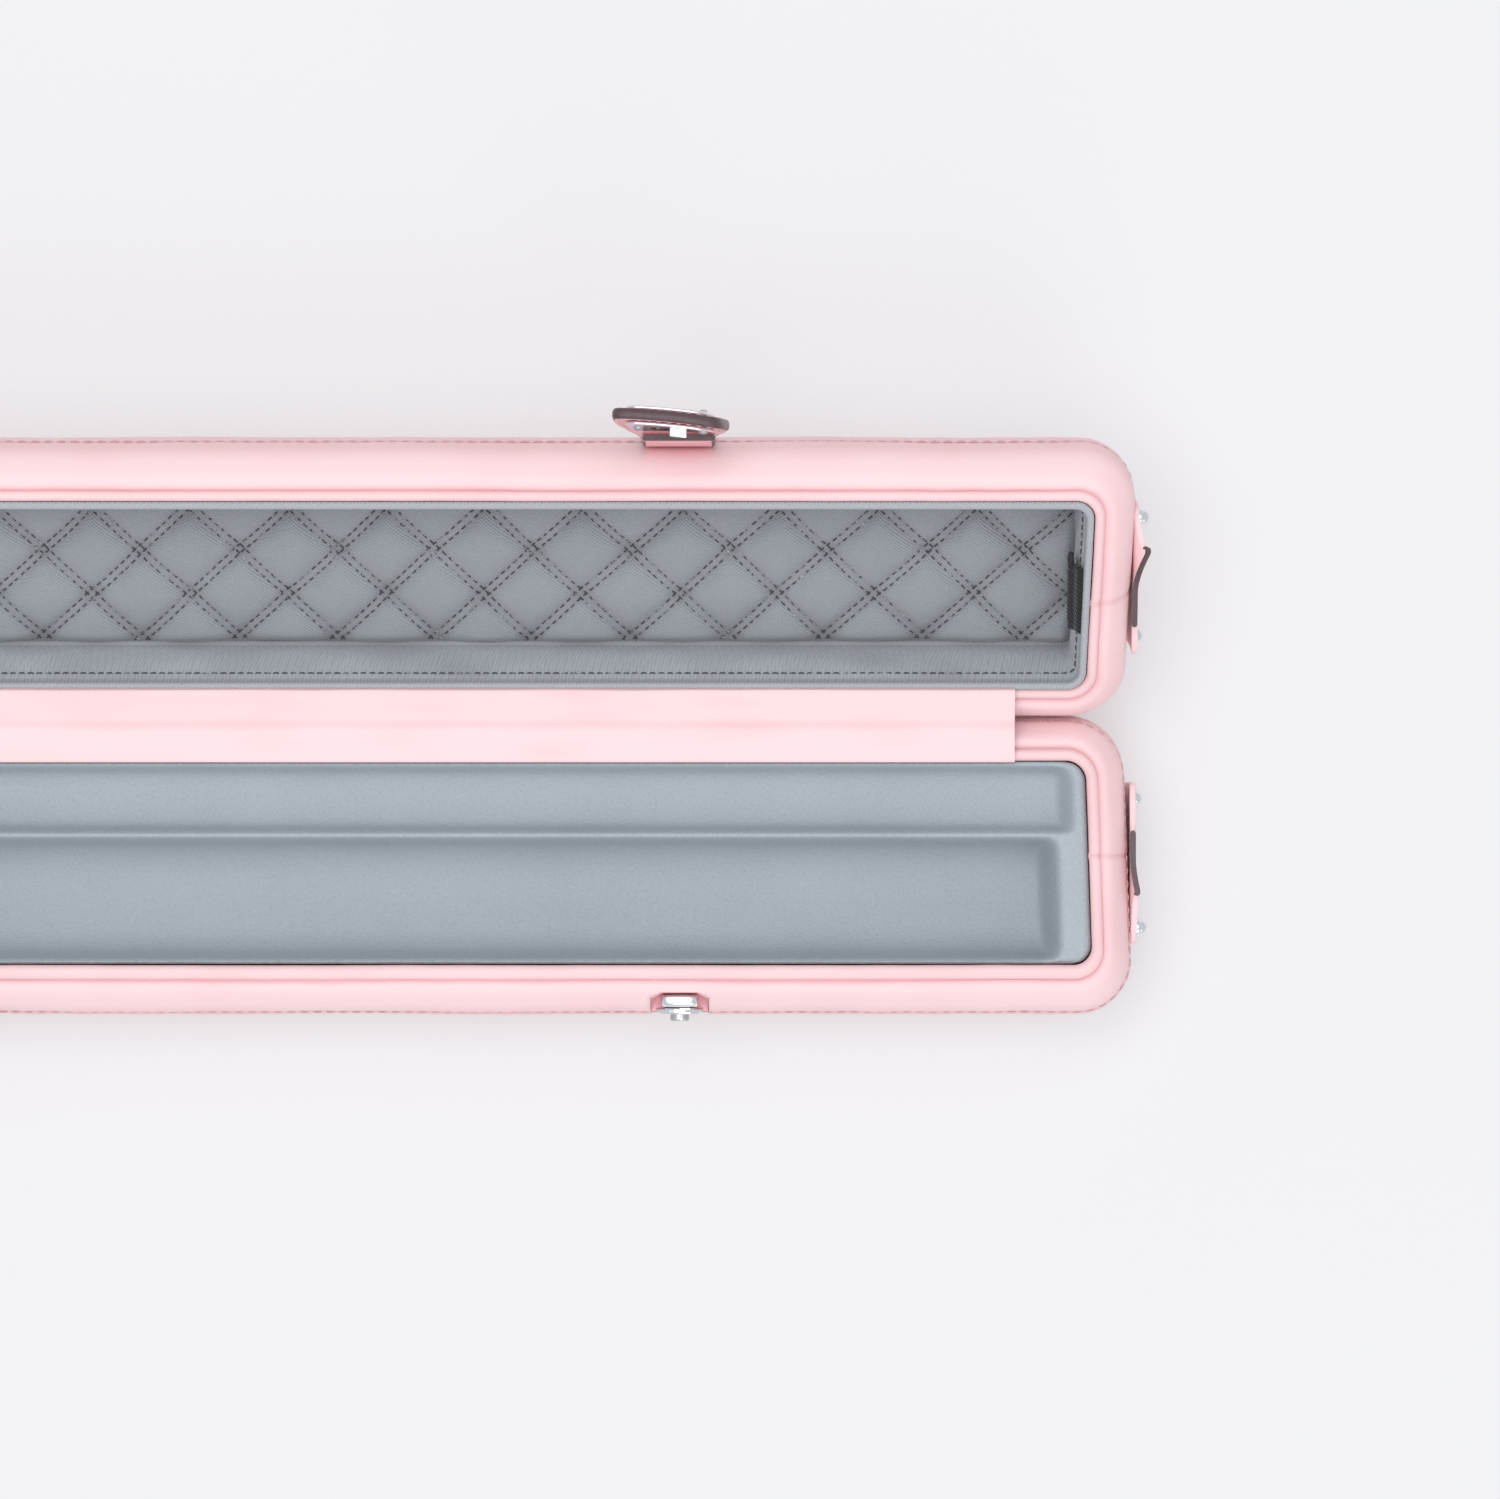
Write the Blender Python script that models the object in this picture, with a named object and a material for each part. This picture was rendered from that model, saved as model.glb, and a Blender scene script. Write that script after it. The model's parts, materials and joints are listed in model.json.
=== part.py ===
"""Cue case: an open, leather-covered hard case for a two-piece cue.

Blender 4.5, metres, +Z up. +X runs along the case, +Y points from the base to the lid, and the origin is the
middle of the base's bottom face. Each half of the case is modelled round the hinge line, in half coordinates:
x along the case, the distance d from the hinge line, and the drop below the rim.
"""

from math import cos, pi, radians, sin

import bmesh
import bpy
from mathutils import Vector

# Overall
CASE_LENGTH = 0.820
HALF_WIDTH = 0.079
BASE_DEPTH = 0.037
LID_DEPTH = 0.030
LID_TILT = radians(25)  # the open lid's front edge stands this far above level
END_SPLAY = 0.0024  # the ends are this much shorter at the hinge than at the front
CLEAR = 0.0003  # between pieces that touch

# Walls, from the lining's edge outward
FRONT_WALL = 0.0142
REAR_WALL = 0.0098
END_WALL = 0.0112
REAR_BULGE = 0.0029  # of the padded rear wall past the hinge line
CORNER_RADIUS = 0.016
LINING_RADIUS = 0.0055
CORNER_STEPS = 6
LIP_WIDTH = 0.0047
REAR_LIP_WIDTH = 0.0033
LIP_TOP = 0.00015
REAR_LIP_TOP = 0.0016  # leaves room for the hinge strip
GROOVE = 0.0014
TUCK = 0.0060  # of the cover inside the rim
SKIN = 0.0015
FOOT_RADIUS = 0.0040
RAIL_TOP = 0.0070
FRONT_RAIL = 0.0060
REAR_RAIL = 0.0030
BASE_PANEL = 0.0050
LID_PANEL = 0.0030

# Cue tray
TRAY_TOP = 0.0020
TRAY_GAP = 0.0004
SHAFT_MIDDLE = 0.0205
SHAFT_WIDTH = 0.0165
SHAFT_DEPTH = 0.0090
SHAFT_END_MARGIN = 0.0025
BUTT_MIDDLE = 0.0470
BUTT_WIDTH = 0.0315
BUTT_DEPTH = 0.0210
BUTT_END_MARGIN = 0.0095
CHANNEL_END_SLOPE = 0.0055
CHANNEL_END_DEPTH = 0.04  # share of the depth left at the very end

# Lid lining
LINING_TOP = 0.0009
LINING_EDGE = 0.0016
LINING_FOOT = 0.0042
QUILT_THICKNESS = 0.0050
TAB_WIDTH = 0.0200
TAB_THICKNESS = 0.0014

# Hinge strip
STRIP_THICKNESS = 0.0011
STRIP_END_INSET = 0.0315

# Latches and locks
LATCH_INSET = 0.125
STRAP_WIDTH = 0.0197
STRAP_THICKNESS = 0.0018
STRAP_LENGTH = 0.0150
FLAP_WIDTH = 0.0305
FLAP_LENGTH = 0.0290
FLAP_NECK = 0.0060
FLAP_THICKNESS = 0.0030
FLAP_CORNER = 0.0030
FLAP_REST = radians(36)  # how far it leans out from its closed direction
PIVOT_DROP = 0.0050
PLATE_THICKNESS = 0.0009
PLATE_WIDTH = 0.0230
PLATE_HEIGHT = 0.0170
LATCH_GAP = 0.0009  # from the case's outline to the catch plate
WINDOW_WIDTH = 0.0110
WINDOW_HEIGHT = 0.0080
TONGUE = (0.0046, 0.0034, 0.0013)  # width, length, thickness
TONGUE_CLEAR = 0.0007
TONGUE_DROP = 0.0043  # of the tongue below the middle of the lock's face plate, when closed
LOCK_DROP = 0.0125  # middle of the lock's face plate
HOUSING_WIDTH = 0.0100
HOUSING_BACK = 0.0050
HOUSING_TOP = 0.0045
HOUSING_BOTTOM = 0.0200
FACE_WIDTH = 0.0152
FACE_HEIGHT = 0.0128
FACE_BACK = 0.0013
FACE_PROUD = 0.0005
BUTTON_RADIUS = 0.0026
BUTTON_PROUD = 0.0024
BUTTON_TRAVEL = 0.0015
BUTTON_RISE = 0.0016  # of the button above the middle of the face plate

# End fittings
STUD_SPACING = 0.0350
STUD_RADIUS = 0.0026
STUD_PROUD = 0.0022
END_STRAP_MIDDLE = 0.0380
END_STRAP_FOOT = 0.0460
BASE_STRAP_TOP = 0.0180
LID_STRAP_TOP = 0.0240
END_STRAP_THICKNESS = 0.0015
END_STRAP_LIFT = 0.0022  # how far its front corner curls out
END_STRAP_TOP_DROP = 0.0075
END_STRAP_SHOULDER_DROP = 0.0116  # where it reaches the width of its foot
STUD_DROP = 0.0144
END_STRAP_FOOT_RISE = 0.0060

# Handle
HANDLE_SPAN = 0.124
HANDLE_REACH = 0.0170
HANDLE_PIVOT_RISE = 0.0250  # above the bottom face
HANDLE_PIVOT_OUT = 0.0080
GRIP_RADIUS = 0.0055
ARM_WIDTH = 0.0060
ARM_CLEAR = 0.0004
PIN_RADIUS = 0.0015
BRACKET_FLANGE = 0.0030
BRACKET_HEIGHT = 0.0090
BRACKET_THICKNESS = 0.0015
EAR_THICKNESS = 0.0018
PIN_HEAD = 0.0006  # of the pin past the ears
GRIP_MARGIN = 0.0040  # between the arm and the end of the grip

# Worked out from the above
LINING_FRONT = HALF_WIDTH - FRONT_WALL
LINING_END = CASE_LENGTH / 2 - END_WALL
LATCH_X = CASE_LENGTH / 2 - LATCH_INSET
RAIL_START = SKIN + 2 * CLEAR
FLAP_INNER = LATCH_GAP + PLATE_THICKNESS + CLEAR
PIVOT_OUT = FLAP_INNER + FLAP_THICKNESS / 2
SIDES = {"left": -1, "right": 1}


def material(name, colour, roughness, metallic=0.0):
    made = bpy.data.materials.new(name)
    made.use_nodes = True
    shader = made.node_tree.nodes["Principled BSDF"]
    shader.inputs["Base Color"].default_value = (*colour, 1.0)
    shader.inputs["Roughness"].default_value = roughness
    shader.inputs["Metallic"].default_value = metallic
    made.diffuse_color = (*colour, 1.0)
    return made


def empty(name, place, parent=None, tilt=0.0):
    made = bpy.data.objects.new(name, None)
    bpy.context.scene.collection.objects.link(made)
    made.location = place
    made.rotation_euler = (tilt, 0, 0)
    made.parent = parent
    return made


def solid(name, points, faces, paint, parent, smooth=True):
    """A closed solid from points and faces, with its faces turned outward."""
    mesh = bpy.data.meshes.new(name)
    mesh.from_pydata([tuple(p) for p in points], [], faces)
    work = bmesh.new()
    work.from_mesh(mesh)
    bmesh.ops.recalc_face_normals(work, faces=work.faces)
    work.to_mesh(mesh)
    work.free()
    mesh.materials.append(paint)
    if smooth:
        mesh.shade_smooth()
        mesh.set_sharp_from_angle(angle=radians(35))
    made = bpy.data.objects.new(name, mesh)
    bpy.context.scene.collection.objects.link(made)
    made.parent = parent
    return made


def loft(loops, closed=False):
    """Points and faces of a solid through loops of equally many points. A closed one joins its last loop to its
    first."""
    count = len(loops[0])
    points = [p for loop in loops for p in loop]
    spans = len(loops) if closed else len(loops) - 1
    faces = []
    for i in range(spans):
        a, b = i * count, (i + 1) % len(loops) * count
        faces += [(a + j, a + (j + 1) % count, b + (j + 1) % count, b + j) for j in range(count)]
    if not closed:
        faces += [tuple(range(count)), tuple(range((len(loops) - 1) * count, len(loops) * count))]
    return points, faces


def box(name, low, high, paint, parent, bevel=0.0):
    """A box between two corners, with rounded edges if asked."""
    corners = [[low[i], high[i]] for i in range(3)]
    (x0, x1), (y0, y1), (z0, z1) = corners
    loops = [[(x0, y0, z), (x1, y0, z), (x1, y1, z), (x0, y1, z)] for z in (z0, z1)]
    made = solid(name, *loft(loops), paint, parent, smooth=False)
    if bevel:
        rounding = made.modifiers.new("rounding", "BEVEL")
        rounding.width = bevel
        rounding.segments = 2
        made.data.shade_smooth()
        made.data.set_sharp_from_angle(angle=radians(35))
    return made


def prism(name, outline, span, paint, parent, axis="x", bevel=0.0):
    """An outline of (a, b) points drawn out along an axis: x takes (y, z), and y takes (x, z)."""
    place = {"x": lambda a, b, t: (t, a, b), "y": lambda a, b, t: (a, t, b)}[axis]
    loops = [[place(a, b, t) for a, b in outline] for t in span]
    made = solid(name, *loft(loops), paint, parent)
    if bevel:
        rounding = made.modifiers.new("rounding", "BEVEL")
        rounding.width = bevel
        rounding.segments = 2
        rounding.limit_method = "ANGLE"
    return made


def oval(width, height, centre=(0, 0), steps=24, power=1.0):
    """An oval outline. A power under 1 fills out its corners."""
    outline = []
    for i in range(steps):
        angle = 2 * pi * i / steps
        a, b = cos(angle), sin(angle)
        a = abs(a) ** power * (1 if a >= 0 else -1)
        b = abs(b) ** power * (1 if b >= 0 else -1)
        outline.append((centre[0] + width / 2 * a, centre[1] + height / 2 * b))
    return outline


def cut(target, *cutters):
    """Cuts the cutters out of the target."""
    for cutter in cutters:
        cutter.hide_render = True
        cutter.display_type = "WIRE"
        taking = target.modifiers.new("cut", "BOOLEAN")
        taking.operation = "DIFFERENCE"
        taking.object = cutter
        taking.solver = "EXACT"


class Half:
    """The base or the lid. Its points are given as x, the distance from the hinge line, and the drop below the rim."""

    def __init__(self, name, depth, panel, side, tilt):
        self.name, self.depth, self.panel, self.side = name, depth, panel, side
        self.frame = empty(name + "_axis", (0, HALF_WIDTH / 2, BASE_DEPTH), tilt=tilt)

    def point(self, x, d, drop):
        splay = END_SPLAY / (CASE_LENGTH / 2) * (1 - d / HALF_WIDTH)
        return x * (1 - splay), self.side * d, -drop

    def floor(self):
        """The drop of the inside of the panel."""
        return self.depth - SKIN - 2 * CLEAR - self.panel

    def loop(self, place):
        """Points round the plan at one place of the wall, given for the front and the rear as (distance out from
        the lining's edge, drop). The ends follow the front in proportion."""
        (front_out, front_drop), (rear_out, rear_drop) = place
        share = front_out / FRONT_WALL
        radius = LINING_RADIUS + share * (CORNER_RADIUS - LINING_RADIUS)
        x_middle = LINING_END + share * END_WALL - radius
        front, rear = LINING_FRONT + front_out - radius, REAR_WALL - rear_out + radius
        points = []
        for quarter, (side, middle) in enumerate([(1, front), (-1, front), (-1, rear), (1, rear)]):
            for step in range(CORNER_STEPS + 1):
                angle = pi / 2 * (quarter + step / CORNER_STEPS)
                rearness = max(0.0, -sin(angle))
                drop = front_drop + (rear_drop - front_drop) * rearness
                x, d = side * x_middle + radius * cos(angle), middle + radius * sin(angle)
                points.append(self.point(x, d, drop))
        return points

    def ring(self, name, section, paint):
        """A closed ring round the half. The section pairs each front place with its rear place."""
        return solid(name, *loft([self.loop(place) for place in section], closed=True), paint, self.frame)

    def slab(self, name, front_out, rear_out, top, bottom, paint):
        """A flat sheet whose edge follows the walls."""
        loops = [self.loop(((front_out, drop), (rear_out, drop))) for drop in (top, bottom)]
        return solid(name, *loft(loops), paint, self.frame)

    def block(self, name, x_span, d_span, drop_span, paint):
        """A straight block."""
        (x0, x1), (d0, d1) = x_span, d_span
        corners = ((x0, d0), (x1, d0), (x1, d1), (x0, d1))
        loops = [[self.point(x, d, drop) for x, d in corners] for drop in drop_span]
        return solid(name, *loft(loops), paint, self.frame, smooth=False)


def slope(start, end, turns):
    """A quarter ellipse over the shoulder of a wall, from its lip to its widest place."""
    (s0, drop0), (s1, drop1) = start, end
    return [(s0 + (s1 - s0) * sin(a), drop0 + (drop1 - drop0) * (1 - cos(a))) for a in turns]


def cover_section(wall, lip, top, depth):
    """The leather's section: up inside the rim, over the lip, down the shoulder, under the foot, back inside."""
    groove, widest = top + GROOVE, depth / 2
    quarter = [pi / 2 * i / 6 for i in range(7)]
    bead = [(lip / 2 * (1 - cos(pi * i / 5)), top + GROOVE * (1 - sin(pi * i / 5))) for i in range(6)]
    outside = [(0, top + TUCK)] + bead + slope((lip, groove), (wall, widest), quarter[1:])
    turns = [pi / 2 * i / 3 for i in range(4)]
    heel = (wall - FOOT_RADIUS, depth - FOOT_RADIUS)
    outside += [(heel[0] + FOOT_RADIUS * cos(a), heel[1] + FOOT_RADIUS * sin(a)) for a in turns]
    inner_radius = FOOT_RADIUS - SKIN
    inside = [(heel[0] + inner_radius * cos(a), heel[1] + inner_radius * sin(a)) for a in reversed(turns)]
    inside += slope((lip, groove + SKIN), (wall - SKIN, widest), reversed(quarter))
    return outside + inside + [(SKIN, groove + SKIN), (SKIN, top + TUCK)]


def padding_section(wall, lip, top, depth, rail):
    """The foam between the leather and the rail's outer face and top."""
    skin = SKIN + CLEAR
    start, end = (lip, top + GROOVE + skin), (wall - skin, depth / 2)
    shoulder = slope(start, end, [pi / 2 * i / 6 for i in range(7)])
    foot = [(wall - skin, depth - FOOT_RADIUS), (wall - FOOT_RADIUS, depth - skin)]
    face = RAIL_START + rail + CLEAR
    inside = [(face, depth - skin), (face, RAIL_TOP - CLEAR), (skin, RAIL_TOP - CLEAR)]
    return [(skin, start[1])] + shoulder + foot + inside


def build_shell(half, paints):
    """The rails, end blocks, panel, padding and leather that both halves have."""
    name, depth = half.name, half.depth
    rear_wall = REAR_WALL + REAR_BULGE
    cover = half.ring(name + "_cover", list(zip(
        cover_section(FRONT_WALL, LIP_WIDTH, LIP_TOP, depth),
        cover_section(rear_wall, REAR_LIP_WIDTH, REAR_LIP_TOP, depth))), paints["leather"])
    padding = half.ring(name + "_padding", list(zip(
        padding_section(FRONT_WALL, LIP_WIDTH, LIP_TOP, depth, FRONT_RAIL),
        padding_section(rear_wall, REAR_LIP_WIDTH, REAR_LIP_TOP, depth, REAR_RAIL))), paints["foam"])
    front_edge, rear_edge = RAIL_START + FRONT_RAIL, RAIL_START + REAR_RAIL
    under = depth - SKIN
    half.slab(name + "_panel", front_edge, rear_edge, half.floor() + CLEAR, under - CLEAR, paints["wood"])
    half.slab(name + "_outer_sheet", FRONT_WALL - FOOT_RADIUS - CLEAR, rear_wall - FOOT_RADIUS - CLEAR, under, depth,
              paints["leather"])
    x_rail, drops = LINING_END - LINING_RADIUS, (RAIL_TOP, half.floor())
    front, rear = LINING_FRONT + RAIL_START, REAR_WALL - RAIL_START
    half.block(name + "_front_rail", (-x_rail, x_rail), (front, front + FRONT_RAIL), drops, paints["wood"])
    half.block(name + "_rear_rail", (-x_rail, x_rail), (rear - REAR_RAIL, rear), drops, paints["wood"])
    end = LINING_END + RAIL_START
    thickness = front_edge / FRONT_WALL * END_WALL - RAIL_START
    for side, sign in SIDES.items():
        half.block(f"{name}_{side}_end_block", (sign * end, sign * (end + thickness)),
                   (REAR_WALL + LINING_RADIUS, LINING_FRONT - LINING_RADIUS), drops, paints["wood"])
    return cover, padding


def channel(half, name, middle, width, depth, end_margin):
    """The cutter of a cue channel: a trough with round lower corners and sloping ends, open at the top."""
    radius = min(width, depth) * 0.45
    above = TRAY_TOP + CLEAR
    turns = [pi / 2 * i / 4 for i in range(5)]
    wall = width / 2
    right = [(wall - radius + radius * cos(a), depth - radius + radius * sin(a)) for a in turns]
    outline = [(wall, -above)] + right + [(-a, b) for a, b in reversed(right)] + [(-wall, -above)]
    end = LINING_END - TRAY_GAP - end_margin
    shallow = CHANNEL_END_DEPTH
    loops = []
    for x, share in ((-end, shallow), (-end + CHANNEL_END_SLOPE, 1), (end - CHANNEL_END_SLOPE, 1), (end, shallow)):
        loops.append([half.point(x, middle + a, TRAY_TOP + (b * share if b > 0 else b)) for a, b in outline])
    return solid(name, *loft(loops), None, half.frame)


def build_tray(half, paint):
    """The tray's foam: a floor, a raised bed for the shaft, the ridge between the two channels, and a block shaped
    by both channels at each end."""
    channel_floor = TRAY_TOP + BUTT_DEPTH
    half.slab("tray_floor", -TRAY_GAP, -TRAY_GAP, channel_floor, half.floor(), paint)
    end = LINING_END - TRAY_GAP - BUTT_END_MARGIN - CHANNEL_END_SLOPE
    ridge = (SHAFT_MIDDLE + SHAFT_WIDTH / 2, BUTT_MIDDLE - BUTT_WIDTH / 2)
    half.block("tray_shaft_bed", (-end, end), (REAR_WALL + TRAY_GAP, ridge[0] - CLEAR),
               (TRAY_TOP + SHAFT_DEPTH, channel_floor - CLEAR), paint)
    half.block("tray_ridge", (-end, end), ridge, (TRAY_TOP, channel_floor - CLEAR), paint)
    channels = (channel(half, "shaft_channel", SHAFT_MIDDLE, SHAFT_WIDTH, SHAFT_DEPTH, SHAFT_END_MARGIN),
                channel(half, "butt_channel", BUTT_MIDDLE, BUTT_WIDTH, BUTT_DEPTH + CLEAR, BUTT_END_MARGIN))
    for side, sign in SIDES.items():
        block = half.slab(f"tray_{side}_end", -TRAY_GAP, -TRAY_GAP, TRAY_TOP, channel_floor - CLEAR, paint)
        rest = half.block(f"tray_{side}_rest", (-sign * CASE_LENGTH, sign * (end + CLEAR)), (0, HALF_WIDTH),
                          (0, half.depth), None)
        cut(block, rest, *channels)


def build_lining(half, paints):
    """The lid's lined walls, its quilted pad, and the webbing tab at each end."""
    floor = half.floor()
    out = -CLEAR
    section = [(out, LINING_TOP), (out, floor), (-LINING_FOOT, floor), (-LINING_FOOT, floor - QUILT_THICKNESS),
               (-LINING_EDGE, LINING_TOP + LINING_EDGE), (-LINING_EDGE / 2, LINING_TOP)]
    half.ring("lid_lining", [(place, place) for place in section], paints["fabric"])
    edge = -LINING_FOOT - CLEAR
    half.slab("quilted_pad", edge, edge, floor - QUILT_THICKNESS, floor, paints["fabric"])
    share = END_WALL / FRONT_WALL
    top = (LINING_END - LINING_EDGE * share - CLEAR, LINING_TOP + LINING_EDGE)
    foot = (LINING_END - LINING_FOOT * share - CLEAR, floor - QUILT_THICKNESS - CLEAR)
    middle = (REAR_WALL + LINING_FRONT) / 2
    for side, sign in SIDES.items():
        loops = []
        for d in (middle - TAB_WIDTH / 2, middle + TAB_WIDTH / 2):
            places = [top, foot, (foot[0] - TAB_THICKNESS, foot[1]), (top[0] - TAB_THICKNESS, top[1])]
            loops.append([half.point(sign * x, d, drop) for x, drop in places])
        solid(f"lid_{side}_tab", *loft(loops), paints["webbing"], half.frame)


def build_hinge_strip(paint, frame):
    """The leather strip along the rear rims, flat on the base's and bent with the open lid."""
    reach = REAR_WALL - CLEAR
    top, bottom = -LIP_TOP, -LIP_TOP - STRIP_THICKNESS
    bend = [(t * cos(LID_TILT) - z * sin(LID_TILT), t * sin(LID_TILT) + z * cos(LID_TILT))
            for t, z in ((reach, bottom), (reach, top))]
    outline = [(-reach, bottom), (0, bottom)] + bend + [(0, top), (-reach, top)]
    half_length = CASE_LENGTH / 2 - STRIP_END_INSET
    prism("hinge_strip", outline, (-half_length, half_length), paint, frame)


def build_lock(side, sign, base, cover, padding, paints):
    """A lock set into the front of the base: its housing, its oval face plate and its button. Its own coordinates
    are x, the distance out from the case's outline along -Y, and z from the middle of the face plate."""
    frame = empty(f"lock_{side}_axis", (sign * LATCH_X, -HALF_WIDTH, -LOCK_DROP), base.frame)
    top, bottom = LOCK_DROP - HOUSING_TOP, LOCK_DROP - HOUSING_BOTTOM
    back, front = HOUSING_BACK, FACE_BACK + CLEAR
    housing = box(f"lock_{side}_housing", (-HOUSING_WIDTH / 2, front, bottom), (HOUSING_WIDTH / 2, back, top),
                  paints["chrome"], frame, bevel=0.0006)
    face = prism(f"lock_{side}_face", oval(FACE_WIDTH, FACE_HEIGHT, steps=32), (-FACE_PROUD, FACE_BACK),
                 paints["chrome"], frame, axis="y", bevel=0.0005)
    button_outline = oval(2 * BUTTON_RADIUS, 2 * BUTTON_RADIUS * 0.7, steps=20)
    button_frame = empty(f"lock_{side}_button_axis", (0, 0, BUTTON_RISE), frame)
    prism(f"lock_{side}_button", button_outline, (-BUTTON_PROUD, FACE_BACK), paints["steel"], button_frame,
          axis="y", bevel=0.0004)
    hole = oval(2 * (BUTTON_RADIUS + CLEAR), 2 * (BUTTON_RADIUS * 0.7 + CLEAR), (0, BUTTON_RISE), steps=20)
    deep = FACE_BACK + BUTTON_TRAVEL + CLEAR
    bore = prism(f"lock_{side}_bore", hole, (-0.01, deep), None, frame, axis="y")
    width, length, thickness = TONGUE
    slot_z = (-TONGUE_DROP - thickness / 2 - TONGUE_CLEAR, -TONGUE_DROP + thickness / 2 + TONGUE_CLEAR)
    slot = box(f"lock_{side}_slot", (-width / 2 - TONGUE_CLEAR, -0.01, slot_z[0]),
               (width / 2 + TONGUE_CLEAR, length - LATCH_GAP + TONGUE_CLEAR, slot_z[1]), None, frame)
    cut(housing, bore, slot)
    cut(face, bore, slot)
    outer, inner = FACE_WIDTH / 2 + CLEAR, HOUSING_WIDTH / 2 + CLEAR
    notch = [(-outer, -0.01), (outer, -0.01), (outer, FACE_BACK + CLEAR), (inner, back + CLEAR),
             (-inner, back + CLEAR), (-outer, FACE_BACK + CLEAR)]
    loops = [[(x, y, z) for x, y in notch] for z in (min(bottom, -FACE_HEIGHT / 2) - CLEAR, LOCK_DROP + 0.01)]
    pocket = solid(f"lock_{side}_pocket", *loft(loops), None, frame)
    cut(cover, pocket)
    cut(padding, pocket)


def build_latch(side, sign, lid, paints):
    """A leather flap on the lid's front with a chrome plate on each face and a window for the lock's button. It is
    modelled in its closed direction round the pivot: y out from the case, z towards its free end."""
    pivot = (sign * LATCH_X, HALF_WIDTH + PIVOT_OUT, -PIVOT_DROP)
    strap_top = PIVOT_DROP + STRAP_THICKNESS
    outline_y = HALF_WIDTH + CLEAR
    box(f"latch_{side}_strap", (pivot[0] - STRAP_WIDTH / 2, outline_y, -strap_top - STRAP_LENGTH),
        (pivot[0] + STRAP_WIDTH / 2, outline_y + STRAP_THICKNESS, -strap_top), paints["leather"], lid.frame)
    frame = empty(f"latch_{side}_axis", pivot, lid.frame, tilt=-FLAP_REST)
    inner = -FLAP_THICKNESS / 2
    neck, half_width, corner = STRAP_WIDTH / 2, FLAP_WIDTH / 2, FLAP_CORNER
    start = STRAP_THICKNESS / 2
    side_points = [(neck, start), (neck, FLAP_NECK - corner), (half_width, FLAP_NECK),
                   (half_width, FLAP_LENGTH - corner), (half_width - corner, FLAP_LENGTH)]
    outline = side_points + [(-a, b) for a, b in reversed(side_points)]
    flap = prism(f"latch_{side}_flap", outline, (inner, -inner), paints["leather"], frame, axis="y", bevel=0.0005)
    lock_z = PIVOT_DROP + LOCK_DROP
    plate_span = (lock_z - PLATE_HEIGHT / 2, lock_z + PLATE_HEIGHT / 2)
    window = prism(f"latch_{side}_window", oval(WINDOW_WIDTH, WINDOW_HEIGHT, (0, lock_z - BUTTON_RISE), power=0.6),
                   (-0.01, 0.01), None, frame, axis="y")
    plate_shape = oval(PLATE_WIDTH, PLATE_HEIGHT, (0, sum(plate_span) / 2), steps=32, power=0.35)
    outer_face = -inner + CLEAR
    outer_plate = prism(f"latch_{side}_outer_plate", plate_shape, (outer_face, outer_face + PLATE_THICKNESS),
                        paints["chrome"], frame, axis="y", bevel=0.0003)
    catch_face = inner - CLEAR - PLATE_THICKNESS
    width, length, thickness = TONGUE
    catch = prism(f"latch_{side}_catch_plate", plate_shape, (catch_face, inner - CLEAR), paints["chrome"], frame,
                  axis="y")
    tongue_z = lock_z + TONGUE_DROP
    tongue = box(f"latch_{side}_tongue", (-width / 2, catch_face - length, tongue_z - thickness / 2),
                 (width / 2, catch_face + PLATE_THICKNESS / 2, tongue_z + thickness / 2), None, frame)
    cut(catch, window)
    join = catch.modifiers.new("join", "BOOLEAN")
    join.operation = "UNION"
    join.object = tongue
    join.solver = "EXACT"
    tongue.hide_render = True
    tongue.display_type = "WIRE"
    cut(flap, window)
    cut(outer_plate, window)


def build_end_fittings(half, strap_top, paints):
    """A shaped leather strap on each end, and the domed studs on both sides of it."""
    top, foot = END_STRAP_TOP_DROP, half.depth - END_STRAP_FOOT_RISE
    shoulder = END_STRAP_SHOULDER_DROP
    middle = END_STRAP_MIDDLE
    inner = CASE_LENGTH / 2 + CLEAR
    steps = 8
    for side, sign in SIDES.items():
        loops = []
        for i in range(steps + 1):
            share = -1 + 2 * i / steps
            top_d, foot_d = share * strap_top / 2, share * END_STRAP_FOOT / 2
            curl = END_STRAP_LIFT * max(0.0, share) ** 2
            rows = [(top_d, top, curl), (top_d * 1.15, (top + shoulder) / 2, 0.4 * curl),
                    (foot_d, shoulder, 0), (foot_d, foot, 0)]
            outside = [(inner + END_STRAP_THICKNESS + lift, d, drop) for d, drop, lift in rows]
            inside = [(inner + lift, d, drop) for d, drop, lift in reversed(rows)]
            loops.append([half.point(sign * x, middle + d, drop) for x, d, drop in outside + inside])
        points, faces = loft(loops)
        # an end of the loft isn't flat, so strips close it in place of one face
        strips = [tuple(first + n for n in (k, k + 1, 6 - k, 7 - k)) for first in (0, 8 * steps) for k in range(3)]
        solid(f"{half.name}_{side}_end_strap", points, faces[:-2] + strips, paints["leather"], half.frame)
        for where, offset in (("rear", -STUD_SPACING / 2), ("front", STUD_SPACING / 2)):
            centre = half.point(sign * (inner + END_STRAP_THICKNESS + CLEAR), middle + offset, STUD_DROP)
            rings = []
            for turn in range(6):
                angle = pi / 2 * turn / 5.5
                radius, height = STUD_RADIUS * cos(angle), STUD_PROUD * sin(angle)
                rings.append([(centre[0] + sign * height, centre[1] + radius * cos(a), centre[2] + radius * sin(a))
                              for a in (2 * pi * j / 16 for j in range(16))])
            solid(f"{half.name}_{side}_{where}_stud", *loft(rings), paints["chrome"], half.frame)


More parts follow.
